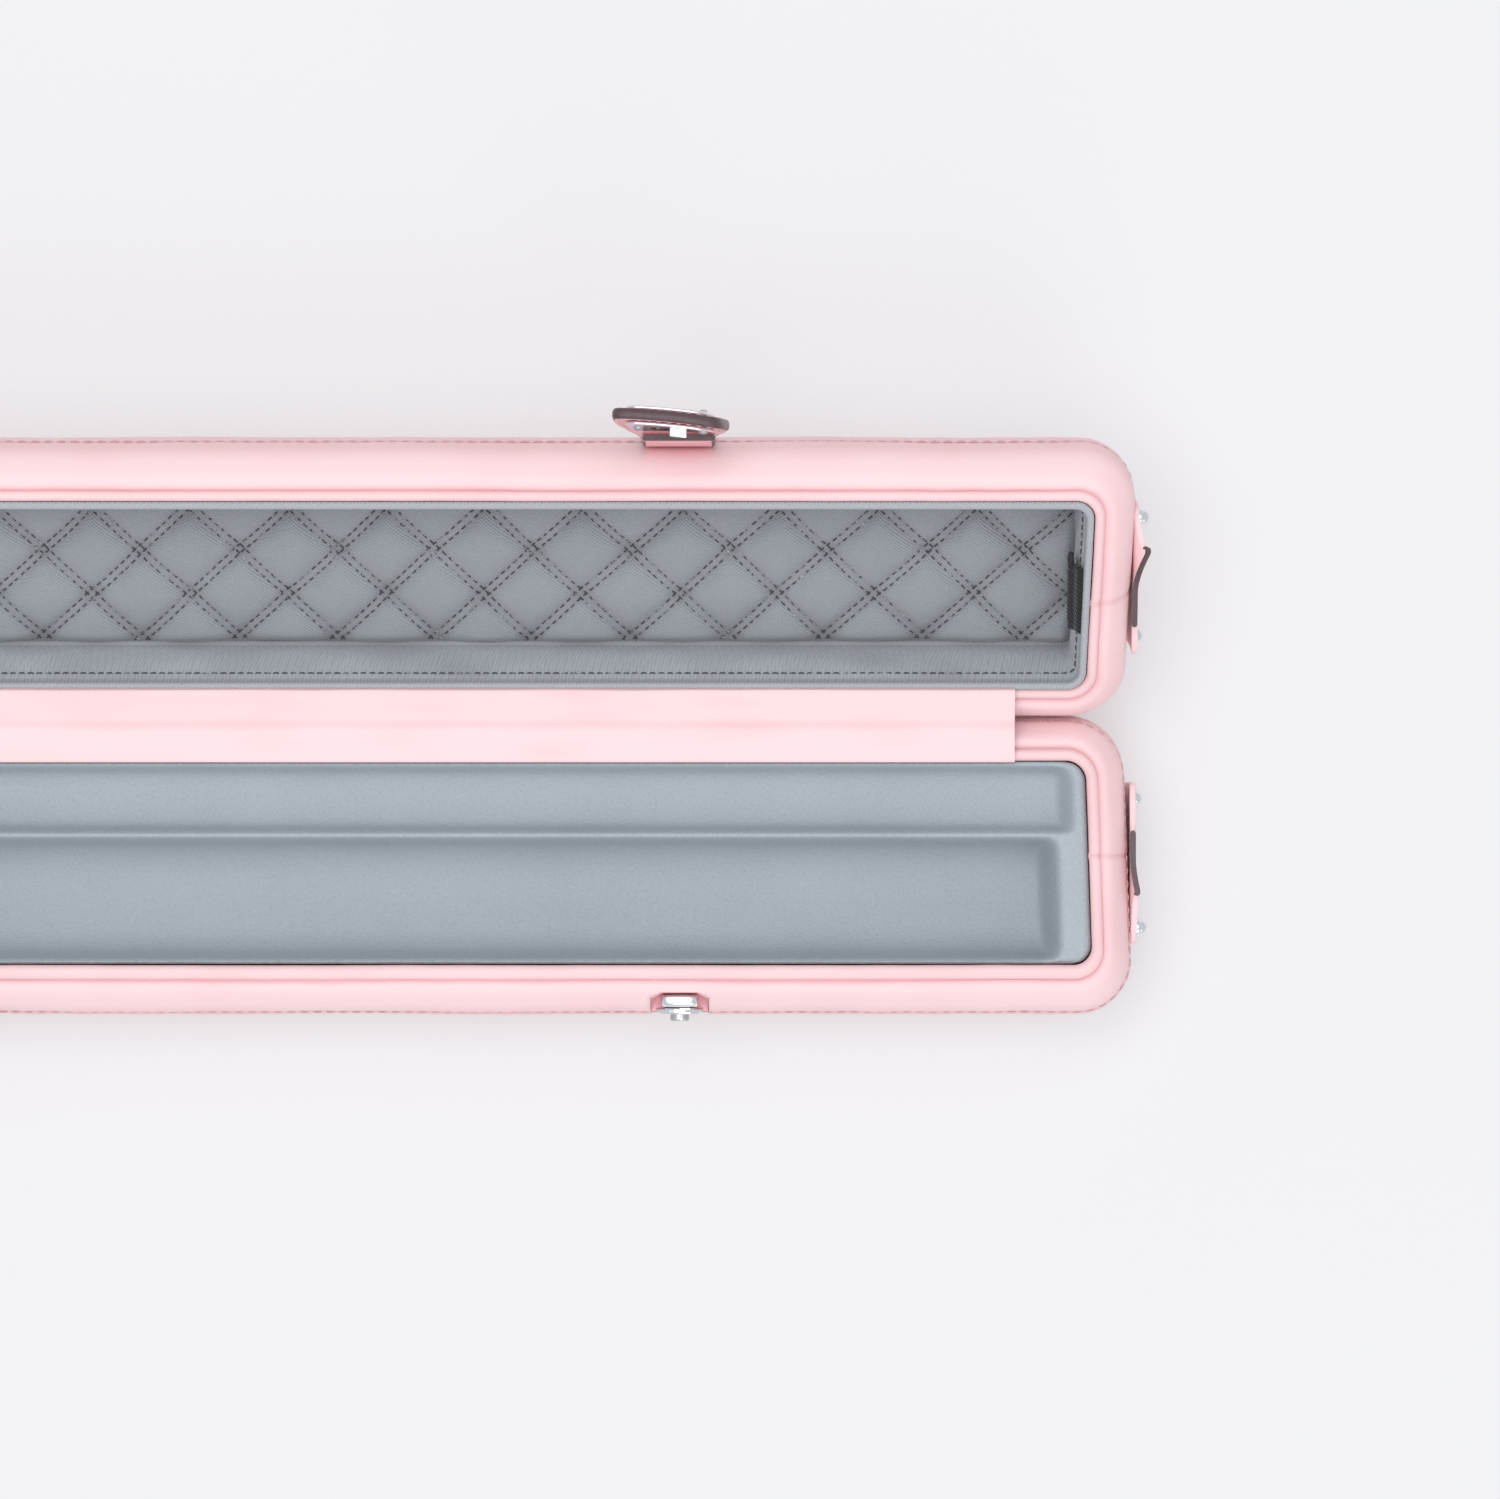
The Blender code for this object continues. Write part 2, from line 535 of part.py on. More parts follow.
def build_handle(base, paints):
    """A carrying handle on the front of the base: a bracket and a pin at each end, two arms and a leather grip."""
    pivot = (0, -HALF_WIDTH - HANDLE_PIVOT_OUT, HANDLE_PIVOT_RISE - BASE_DEPTH)
    frame = empty("handle_axis", pivot, base.frame)
    ear_gap = ARM_WIDTH / 2 + CLEAR
    ear_end = ear_gap + EAR_THICKNESS
    eye = ARM_WIDTH / 2 + ARM_CLEAR
    wall = HANDLE_PIVOT_OUT - CLEAR
    grip_end = HANDLE_SPAN / 2 - ARM_WIDTH / 2 - GRIP_MARGIN
    for side, sign in SIDES.items():
        x = sign * HANDLE_SPAN / 2
        mount = empty(f"handle_{side}_mount", (x, *pivot[1:]), base.frame)
        flange, front = ear_end + BRACKET_FLANGE, wall - BRACKET_THICKNESS
        right = [(flange, wall), (flange, front), (ear_end, front), (ear_end, -eye), (ear_gap, -eye), (ear_gap, front)]
        plate = right + [(-a, b) for a, b in reversed(right)]
        loops = [[(a, b, z) for a, b in plate] for z in (-BRACKET_HEIGHT / 2, BRACKET_HEIGHT / 2)]
        bracket = solid(f"handle_{side}_bracket", *loft(loops), paints["chrome"], mount, smooth=False)
        circle = [(cos(2 * pi * i / 16), sin(2 * pi * i / 16)) for i in range(16)]
        hole_radius = PIN_RADIUS + CLEAR
        hole = prism(f"handle_{side}_hole", [(hole_radius * a, hole_radius * b) for a, b in circle],
                     (-0.02, 0.02), None, mount)
        cut(bracket, hole)
        prism(f"handle_{side}_pin", [(PIN_RADIUS * a, PIN_RADIUS * b) for a, b in circle],
              (-ear_end - PIN_HEAD, ear_end + PIN_HEAD), paints["steel"], mount, bevel=0.0003)
        reach, half_arm = HANDLE_REACH, ARM_WIDTH / 2
        inward = -sign * (HANDLE_SPAN / 2 - grip_end - CLEAR)
        shape = [(-sign * half_arm, eye), (sign * half_arm, eye), (sign * half_arm, -reach - half_arm),
                 (inward, -reach - half_arm), (inward, -reach + half_arm), (-sign * half_arm, -reach + half_arm)]
        arm = prism(f"handle_{side}_arm", [(x + a, b) for a, b in shape], (-half_arm, half_arm), paints["chrome"],
                    frame, axis="y", bevel=0.0008)
        arm_hole = prism(f"handle_{side}_arm_hole", [(hole_radius * a, hole_radius * b) for a, b in circle],
                         (x - 0.02, x + 0.02), None, frame)
        cut(arm, arm_hole)
    rings = []
    for i in range(13):
        share = -1 + 2 * i / 12
        girth = GRIP_RADIUS * (1 - 0.22 * share ** 2)
        rings.append([(share * grip_end, girth * 0.9 * cos(a), girth * sin(a) - HANDLE_REACH)
                      for a in (2 * pi * j / 20 for j in range(20))])
    solid("handle_grip", *loft(rings), paints["leather"], frame)


def main():
    for old in list(bpy.data.objects):
        bpy.data.objects.remove(old)
    paints = {
        "leather": material("pink_leather", (0.90, 0.58, 0.62), 0.45),
        "foam": material("foam", (0.80, 0.78, 0.70), 0.9),
        "wood": material("plywood", (0.62, 0.46, 0.30), 0.7),
        "tray": material("grey_leatherette", (0.36, 0.41, 0.44), 0.55),
        "fabric": material("grey_twill", (0.30, 0.34, 0.38), 0.85),
        "webbing": material("black_webbing", (0.03, 0.03, 0.03), 0.7),
        "chrome": material("chrome", (0.85, 0.86, 0.88), 0.12, 1.0),
        "steel": material("brushed_steel", (0.60, 0.61, 0.63), 0.35, 1.0),
    }
    base = Half("base", BASE_DEPTH, BASE_PANEL, -1, 0.0)
    lid = Half("lid", LID_DEPTH, LID_PANEL, 1, LID_TILT)
    cover, padding = build_shell(base, paints)
    build_shell(lid, paints)
    build_tray(base, paints["tray"])
    build_lining(lid, paints)
    build_hinge_strip(paints["leather"], base.frame)
    for side, sign in SIDES.items():
        build_lock(side, sign, base, cover, padding, paints)
        build_latch(side, sign, lid, paints)
    build_end_fittings(base, BASE_STRAP_TOP, paints)
    build_end_fittings(lid, LID_STRAP_TOP, paints)
    build_handle(base, paints)


main()
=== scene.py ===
# %% [markdown]
# # A leather cue case
# The case is a long shallow box in two halves, joined by a leather strip along the back. This lesson
# dresses its working frame, made by another script, in padded leather, quilted twill, moulded leatherette
# and chrome. The frame comes first: every piece takes its size and place from it, so nothing has to be
# fitted afterwards.

# %% Load the frame
import json
from math import cos, degrees, pi, radians, sin

import bmesh
import bpy
import numpy as np
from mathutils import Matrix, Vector


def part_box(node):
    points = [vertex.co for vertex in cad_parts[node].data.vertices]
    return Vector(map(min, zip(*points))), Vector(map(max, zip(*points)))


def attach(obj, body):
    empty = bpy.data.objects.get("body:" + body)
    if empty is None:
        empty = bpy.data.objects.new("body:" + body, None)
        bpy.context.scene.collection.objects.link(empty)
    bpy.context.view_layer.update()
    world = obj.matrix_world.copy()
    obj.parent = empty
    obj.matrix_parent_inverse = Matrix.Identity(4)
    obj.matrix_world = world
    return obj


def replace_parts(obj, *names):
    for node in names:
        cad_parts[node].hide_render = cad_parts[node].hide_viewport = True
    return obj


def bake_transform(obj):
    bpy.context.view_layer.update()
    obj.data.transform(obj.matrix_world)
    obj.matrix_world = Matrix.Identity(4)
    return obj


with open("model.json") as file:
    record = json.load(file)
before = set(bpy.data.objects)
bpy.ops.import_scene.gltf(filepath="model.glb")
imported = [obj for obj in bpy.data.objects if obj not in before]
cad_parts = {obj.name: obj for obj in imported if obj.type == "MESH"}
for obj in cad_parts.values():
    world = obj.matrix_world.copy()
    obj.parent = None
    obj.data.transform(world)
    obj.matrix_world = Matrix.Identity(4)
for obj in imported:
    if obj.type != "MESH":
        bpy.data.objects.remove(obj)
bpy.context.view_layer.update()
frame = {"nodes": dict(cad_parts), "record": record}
joints = {j["name"]: j for j in frame["record"]["behaviour"]["joints"]}

# %% [markdown]
# ## Camera, light and floor
# The case is looked at from straight above, and only its right end is in view. A long lens far away keeps
# the walls from leaning. The light is a big soft panel overhead and a weak one in front, in a pale world,
# so it is nearly shadowless, with just enough direction to round the padding. The table glows a little,
# to stay white.

# %% Studio
hinge = Vector(joints["lid_hinge"]["pos_m"])
scene = bpy.context.scene
scene.view_settings.view_transform = "Standard"
view_centre = Vector((0.3043, 0.0327, hinge.z))
view_width = 1500 / 3650
view_distance = 3.0

camera_data = bpy.data.cameras.new("camera")
camera_data.sensor_width = 36
camera_data.lens = 36 * view_distance / view_width
camera_data.clip_end = 20
camera = bpy.data.objects.new("camera", camera_data)
camera.location = view_centre + Vector((0, 0, view_distance))
scene.collection.objects.link(camera)
scene.camera = camera

world = bpy.data.worlds.new("pale_room")
world.use_nodes = True
world.node_tree.nodes["Background"].inputs["Color"].default_value = (0.95, 0.96, 1.0, 1)
world.node_tree.nodes["Background"].inputs["Strength"].default_value = 0.69
scene.world = world


def area_light(name, place, aim, size, watts):
    """A soft square light at a place, turned towards a point."""
    data = bpy.data.lights.new(name, "AREA")
    data.size, data.energy = size, watts
    lamp = bpy.data.objects.new(name, data)
    lamp.location = place
    lamp.rotation_euler = (Vector(aim) - Vector(place)).to_track_quat("-Z", "Y").to_euler()
    scene.collection.objects.link(lamp)


area_light("overhead_panel", (0.1, 0.25, 1.9), (0.25, 0.03, 0.0), 1.6, 17)
area_light("front_fill", (0.7, -1.3, 1.2), (0.2, 0.0, 0.0), 1.0, 5)

table_half, table_height = 4, -0.0004
floor_mesh = bpy.data.meshes.new("floor")
corners = [(x * table_half, y * table_half, table_height) for x, y in ((-1, -1), (1, -1), (1, 1), (-1, 1))]
floor_mesh.from_pydata(corners, [], [(0, 1, 2, 3)])
floor = bpy.data.objects.new("floor", floor_mesh)
scene.collection.objects.link(floor)
print("camera", round(camera_data.lens), "mm lens, from", view_distance, "m")

# %% [markdown]
# ## Shader sums
# A finish is mostly arithmetic: this much grain, times that much wear. Written as nodes it is hard to
# read, so one small class wraps a node's output and lets +, - and * add the Math nodes. Everything else,
# such as a noise or a bump, goes through one method that takes the node's type, its settings and its
# inputs.

# %% A value, and a finish to put it in
class Value:
    """The output of a node, which can be used in sums."""

    def __init__(self, finish, socket):
        self.finish, self.socket = finish, socket

    def math(self, operation, first, second=0.0):
        return self.finish.node("Math", {"operation": operation}, {0: first, 1: second})

    def __add__(self, other):
        return self.math("ADD", self, other)

    def __sub__(self, other):
        return self.math("SUBTRACT", self, other)

    def __rsub__(self, other):
        return self.math("SUBTRACT", other, self)

    def __mul__(self, other):
        return self.math("MULTIPLY", self, other)

    __radd__ = __add__
    __rmul__ = __mul__

    def wave(self):
        return self.math("SINE", self)


class Finish:
    """A material on its way: the same constants all over, then whatever changes over the surface."""

    def __init__(self, name, colour, roughness, constants=None):
        self.material = bpy.data.materials.new(name)
        self.material.use_nodes = True
        self.tree = self.material.node_tree
        self.shader = self.tree.nodes["Principled BSDF"]
        self.put("Base Color", (*colour, 1))
        self.put("Roughness", roughness)
        for socket, value in (constants or {}).items():
            self.put(socket, value)

    def put(self, socket, value):
        """A number or a value on one of the shader's own sockets."""
        self.feed(self.shader.inputs[socket], value)

    def feed(self, target, value):
        if isinstance(value, Value):
            self.tree.links.new(value.socket, target)
        else:
            target.default_value = value

    def node(self, kind, settings, inputs, output=0):
        """Adds a node: its settings first, then what goes into its sockets."""
        made = self.tree.nodes.new("ShaderNode" + kind)
        for key, setting in settings.items():
            if key == "stops":
                low, high = made.color_ramp.elements
                (low.position, low.color), (high.position, high.color) = setting
            else:
                setattr(made, key, setting)
        for key, value in inputs.items():
            self.feed(made.inputs[key], value)
        return Value(self, made.outputs[output])

    def place(self):
        return self.node("TexCoord", {}, {}, "Object")

    def axis(self, letter):
        return self.node("SeparateXYZ", {}, {0: self.place()}, letter)

    def noise(self, size, detail=3.0, stretch=(1, 1, 1)):
        """Cloudy unevenness of about the given size in metres, drawn out along the axes by the stretch."""
        spread = self.node("VectorMath", {"operation": "MULTIPLY"},
                           {0: self.place(), 1: [1 / s for s in stretch]})
        return self.node("TexNoise", {}, {"Vector": spread, "Scale": 1 / size, "Detail": detail}, 0)

    def cells(self, size):
        """Pebbles of the given size: the distance from the middle of each."""
        return self.node("TexVoronoi", {}, {"Vector": self.place(), "Scale": 1 / size}, "Distance")

    def tone(self):
        """The shade painted on the mesh's own points, from 0 to 1."""
        return self.node("Attribute", {"attribute_name": "tone"}, {}, "Fac")

    def blend(self, share, first, second):
        """A mix of two colours."""
        return self.node("Mix", {"data_type": "RGBA"}, {0: share, 6: first, 7: second}, 2)

    def bump(self, height, distance, strength=1.0):
        self.put("Normal", self.node("Bump", {},
                                     {"Height": height, "Distance": distance, "Strength": strength}))

    def on(self, *names):
        """Gives the finish to nodes of the frame."""
        for name in names:
            for place in frame["nodes"][name].material_slots:
                place.material = self.material


def rgb(red, green, blue):
    return (red, green, blue, 1)


# %% [markdown]
# ## The leathers
# The pink hide is a soft pebbled grain under a thin clear finish. It is painted darker and redder in its
# grooves and seams, where it tucks away and low on the walls: painted shade, which the mesh marks with a
# tone. Its colour is uneven all over as well. The grain is a cell pattern with a fine noise in it, because
# a plain noise looks like plaster. Cut edges are sealed with a dark brown paint.

# %% Leather finishes
def pink_leather(name, body_colour, painted_shade_colour, grain):
    made = Finish(name, body_colour[:3], 0.42, {"Specular IOR Level": 0.35, "Coat Roughness": 0.35})
    patches = made.noise(0.035, 4.0)
    fine = made.noise(0.0006, 2.0)
    base_coat = made.blend(patches * 0.35, body_colour, rgb(*[c * 0.93 for c in body_colour[:3]]))
    # The tone mixes in the painted shade colour.
    made.put("Base Color", made.blend(made.tone() * (patches * 0.4 + 0.8), base_coat, painted_shade_colour))
    made.put("Roughness", made.tone() * 0.16 + fine * 0.10 + 0.36)
    made.bump(made.cells(0.0011) * grain + fine * (grain * 0.5) + made.noise(0.004) * 0.6, 0.00016, 0.55)
    return made


hide = pink_leather("pink_hide", rgb(0.950, 0.690, 0.705), rgb(0.76, 0.40, 0.42), 0.6)
# A darker, redder copy of the hide for the latch flaps and necks, the lock notches and the handle: painted shade.
painted_shade_hide = pink_leather("painted_shade_hide", rgb(0.86, 0.46, 0.49), rgb(0.55, 0.22, 0.25), 0.5)

edge_paint = Finish("edge_paint", (0.10, 0.055, 0.06), 0.35)
edge_paint.put("Base Color",
               edge_paint.blend(edge_paint.noise(0.0015), rgb(0.13, 0.075, 0.08), rgb(0.06, 0.035, 0.04)))
edge_paint.bump(edge_paint.noise(0.0006), 0.0001)

pink_thread = Finish("pink_thread", (0.60, 0.36, 0.39), 0.6, {"Sheen Weight": 0.3})
thread_twist = pink_thread.axis("X") * 9000 + pink_thread.axis("Y") * 9000
pink_thread.bump(thread_twist.wave(), 0.00005)
pink_thread.put("Base Color",
                pink_thread.blend(thread_twist.wave() * 0.3 + 0.4, rgb(0.78, 0.50, 0.53), rgb(0.55, 0.31, 0.34)))

grey_thread = Finish("grey_thread", (0.13, 0.14, 0.16), 0.45, {"Sheen Weight": 0.3})
glint = grey_thread.noise(0.0022, 1.0)
grey_thread.put("Base Color",
                grey_thread.blend((glint - 0.55) * 4, rgb(0.035, 0.038, 0.048), rgb(0.55, 0.57, 0.60)))

# %% [markdown]
# ## The linings
# The cue lies on grey leatherette with a fine pebble grain. The lid is lined with a twill, a weave whose
# ribs run on a slant. Its ribs are far too fine to model, so a sine across a slanted direction makes them
# as bump and a little colour, and a second sine across the first breaks them into single yarns.

# %% Grey finishes
leatherette = Finish("grey_leatherette", (0.36, 0.42, 0.45), 0.5, {"Specular IOR Level": 0.4})
cloud = leatherette.noise(0.03)
speck = leatherette.cells(0.0008)
leatherette.put("Base Color",
        leatherette.blend(cloud * 0.45 + speck * 0.35, rgb(0.44, 0.495, 0.525), rgb(0.335, 0.38, 0.41)))
leatherette.put("Roughness", speck * 0.18 + 0.40)
leatherette.bump(speck + leatherette.noise(0.0004) * 0.4, 0.00018, 0.8)


def woven(name, light, dark, pitch):
    """A slanted weave with ribs at the given pitch, painted darker as shade where the mesh is toned."""
    made = Finish(name, light[:3], 0.85,
                  {"Sheen Weight": 0.25, "Sheen Roughness": 0.5, "Specular IOR Level": 0.2})
    x, y, z = (made.axis(letter) for letter in "XYZ")
    turn = 2 * pi / pitch
    rib = (x * turn + y * turn + z * (turn * 0.8)).wave()
    yarn = (x * (turn * 0.5) - y * (turn * 1.1) - z * (turn * 0.6)).wave()
    weave = rib * 0.35 + yarn * 0.15 + 0.5
    mottle = made.noise(0.012, 4.0)
    fibre = made.noise(0.0009, 3.0)
    cloth = made.blend(weave * 0.5 + fibre * 0.3 + mottle * 0.2, dark, light)
    # The toned colour is painted shade, a dark version of the cloth.
    made.put("Base Color", made.blend(made.tone(), cloth, rgb(*[c * 0.42 for c in dark[:3]])))
    made.bump(weave + fibre * 0.8, 0.00022, 0.9)
    return made


twill = woven("grey_twill", rgb(0.44, 0.46, 0.485), rgb(0.25, 0.265, 0.285), 0.0010)
# A lighter copy of the same twill for the lid's lined walls: painted light.
painted_light_twill = woven("grey_twill_painted_light", rgb(0.60, 0.625, 0.655), rgb(0.38, 0.40, 0.43), 0.0010)
webbing = woven("black_webbing", rgb(0.035, 0.035, 0.04), rgb(0.008, 0.008, 0.01), 0.0016)

# %% [markdown]
# ## Metal, wood and foam
# The fittings are chrome plate over a cast body: a mirror with faint ripples and a few dull fingermarks.
# The rails and panels inside the walls are plywood, and the padding is foam. They hardly show, but they
# are there.

# %% Hard finishes
chrome = Finish("chrome", (0.84, 0.85, 0.87), 0.12, {"Metallic": 1.0})
smear = chrome.noise(0.006, 5.0)
chrome.put("Roughness", smear * 0.16 + 0.05)
chrome.put("Base Color", chrome.blend(smear, rgb(0.90, 0.91, 0.93), rgb(0.74, 0.75, 0.78)))
chrome.bump(chrome.noise(0.003), 0.00003)

steel = Finish("brushed_steel", (0.55, 0.56, 0.58), 0.35, {"Metallic": 1.0})
brush = steel.noise(0.0006, 2.0, (8, 1, 1))
steel.put("Roughness", brush * 0.25 + 0.25)
steel.put("Base Color", steel.blend(brush, rgb(0.62, 0.63, 0.65), rgb(0.44, 0.45, 0.47)))
steel.bump(brush, 0.00003)

plywood = Finish("plywood", (0.60, 0.44, 0.28), 0.7)
figure = plywood.noise(0.006, 4.0, (14, 1, 1))
plies = (plywood.axis("Z") * (2 * pi / 0.0012)).wave()
plywood.put("Base Color",
            plywood.blend(figure * 0.7 + plies * 0.15, rgb(0.66, 0.50, 0.33), rgb(0.42, 0.28, 0.16)))
plywood.bump(figure + plies * 0.2, 0.0002)

foam = Finish("foam", (0.78, 0.76, 0.66), 0.95)
pores = foam.cells(0.0009)
# The pits of the pores are painted darker: painted shade.
foam.put("Base Color", foam.blend(pores, rgb(0.62, 0.59, 0.48), rgb(0.84, 0.82, 0.72)))
foam.bump(pores, 0.0005)

table = Finish("white_table", (0.5, 0.5, 0.5), 0.8,
               {"Emission Color": rgb(0.985, 0.985, 1.0), "Emission Strength": 0.355})
table.put("Base Color", table.blend(table.noise(0.3), rgb(0.485, 0.485, 0.49), rgb(0.475, 0.475, 0.48)))
floor_mesh.materials.append(table.material)

for half_name in ("base", "lid"):
    plywood.on(half_name + "_front_rail", half_name + "_rear_rail", half_name + "_left_end_block",
               half_name + "_right_end_block", half_name + "_panel")
    foam.on(half_name + "_padding")
print(len(bpy.data.materials), "finishes")

# %% [markdown]
# ## The two halves
# Base and lid have the same walls, one the mirror of the other in the hinge line. So a place on either is
# given as x along the case, the distance d from the hinge line, and the drop below the rim. One small
# class turns these into points in space, and the leather, the lining and the stitches can then be written
# once for both halves.

# %% Half coordinates
tilt = radians(180 - joints["lid_hinge"]["range_deg"][1])
half_length, half_width = 0.410, hinge.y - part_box("base_cover")[0][1]
end_splay = 0.0029
rear_wall, end_wall = 0.0098, 0.0112
rear_bulge = 0.0029
lining_end = half_length - end_wall
lining_radius, corner_radius = 0.0055, 0.016
skin = 0.0015


class Half:
    """A half of the case: side is -1 for the base and 1 for the lid."""

    def __init__(self, body, side, lean, depth, panel, lining_front, front_wall, lip, widest, seam):
        self.body, self.side, self.depth, self.floor = body, side, depth, depth - panel - skin - 0.0006
        self.lining_front, self.front_wall, self.lip = lining_front, front_wall, lip
        self.widest, self.seam = widest, seam
        self.cos, self.sin = cos(lean), sin(lean)

    def points(self, x, d, drop):
        """Arrays of half coordinates as an array of points in space."""
        x, d, drop = np.broadcast_arrays(x, d, drop)
        x = x * (1 - end_splay / half_length * (1 - d / half_width))
        y, z = self.side * d, -drop
        return np.stack([x, hinge.y + y * self.cos - z * self.sin, hinge.z + y * self.sin + z * self.cos],
                        axis=-1)


base = Half("base", -1, 0.0, hinge.z, 0.005, lining_front=0.0660, front_wall=0.0138, lip=0.0040,
            widest=0.0150, seam=0.0106)
lid = Half("lid", 1, tilt, 0.030, 0.003, lining_front=0.0664, front_wall=0.0119, lip=0.0030, widest=0.0105,
           seam=0.0160)
halves = (base, lid)
print(f"each half {2 * half_length * 1000:.0f} x {half_width * 1000:.0f} mm, lid raised {degrees(tilt):.0f} degrees")

# %% [markdown]
# ## Walking round a wall
# The rim, the shoulder and the lining all follow one plan: straight sides with round corners. A place on
# the wall's section is how far out it is from the lining's edge and how far it has dropped, at the front
# and at the rear. Round the ends it follows the front in proportion, as the leather does when it is drawn
# round a corner.

# %% The plan
corner_turns = np.radians(np.linspace(0, 90, 13))
along, across = 206, 60


def plan(half, places):
    """Half coordinates and outward directions round the plan, a row for each (front out, front drop, rear
    out,
    rear drop)."""
    front_out, front_drop, rear_out, rear_drop = (np.array(column)[:, None] for column in zip(*places))
    share = front_out / half.front_wall
    radius = np.maximum(lining_radius + share * (corner_radius - lining_radius), 0.0008)
    x_middle = lining_end + share * end_wall - radius
    front, rear = half.lining_front + front_out - radius, rear_wall - rear_out + radius
    corners, ways = [], []
    for quarter, (side, middle) in enumerate([(1, front), (-1, front), (-1, rear), (1, rear)]):
        angle = corner_turns + pi / 2 * quarter
        rearness = np.maximum(0, -np.sin(angle))
        drop = front_drop + (rear_drop - front_drop) * rearness
        corners.append(np.stack([side * x_middle + radius * np.cos(angle), middle + radius * np.sin(angle),
                                 drop], axis=-1))
        ways.append(np.stack([np.cos(angle), np.sin(angle)], axis=-1))
    rows, directions = [], []
    for i, count in enumerate((along, across, along, across)):
        start, end = corners[i][:, -1:], corners[(i + 1) % 4][:, :1]
        share_on = (np.arange(1, count) / count)[None, :, None]
        rows += [corners[i], start + (end - start) * share_on]
        directions += [ways[i], np.repeat(ways[i][-1:], count - 1, axis=0)]
    return np.concatenate(rows, axis=1), np.concatenate(directions)


# %% [markdown]
# ## Making a mesh from a grid
# Most pieces are a grid of points: rows round a wall, or rows across a pad. One function turns a grid
# into a mesh, closing it round where it meets itself, and carries a tone with which the shader paints
# shade into seams, grooves and tucks. Soft unevenness is the sum of a few slow waves in random directions:
# it never repeats, and its seed keeps it the same on every run.

# %% Grid to mesh
def ripple(points, size, seed):
    """Soft unevenness of the given size, between about -1 and 1."""
    chance = np.random.default_rng(seed)
    total = np.zeros(points.shape[:-1])
    for _ in range(7):
        way = chance.normal(size=3)
        way /= np.linalg.norm(way)
        pitch = size * chance.uniform(0.7, 1.6)
        total += np.sin(points @ way * (2 * pi / pitch) + chance.uniform(0, 2 * pi))
    return total / 4


def add_piece(name, points, faces, finishes, body, face_finish=None, tones=None, sharp=40, recalc=True):
    """A piece that rides on a body, with its faces turned outward."""
    mesh = bpy.data.meshes.new(name)
    mesh.from_pydata(points.reshape(-1, 3).tolist(), [], faces)
    for finish in finishes:
        mesh.materials.append(finish.material)
    if face_finish is not None:
        mesh.polygons.foreach_set("material_index", np.array(face_finish, dtype=np.int32))
    if tones is not None:
        mesh.attributes.new("tone", "FLOAT", "POINT").data.foreach_set("value",
                tones.ravel().astype(np.float32))
    if recalc:
        work = bmesh.new()
        work.from_mesh(mesh)
        bmesh.ops.recalc_face_normals(work, faces=work.faces)
        work.to_mesh(mesh)
        work.free()
    mesh.shade_smooth()
    mesh.set_sharp_from_angle(angle=radians(sharp))
    made = bpy.data.objects.new(name, mesh)
    scene.collection.objects.link(made)
    if body:
        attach(made, body)
    return made


def grid_faces(rows, columns, round_rows, round_columns, caps=False):
    """Faces between neighbouring points of a grid, whose last row or column may join its first."""
    r = np.arange(rows if round_rows else rows - 1)[:, None]
    c = np.arange(columns if round_columns else columns - 1)[None, :]
    r2, c2 = (r + 1) % rows, (c + 1) % columns
    faces = np.stack([r * columns + c, r * columns + c2, r2 * columns + c2, r2 * columns + c],
                     axis=-1).reshape(-1, 4).tolist()
    if caps:
        faces += [list(range(columns)), list(range((rows - 1) * columns, rows * columns))]
    return faces


def add_grid(name, grid, finishes, body, round_rows=False, round_columns=True, caps=False, **more):
    faces = grid_faces(grid.shape[0], grid.shape[1], round_rows, round_columns, caps)
    return add_piece(name, grid, faces, finishes, body, **more)


# %% [markdown]
# ## Stitches
# A row of stitches is thousands of short bows of thread, each going in at one needle hole and out at the
# next. One bow is a small tube whose ends dip into the leather. It is copied along a line with array
# arithmetic, all in one mesh, which takes a blink where thousands of separate objects would take minutes.

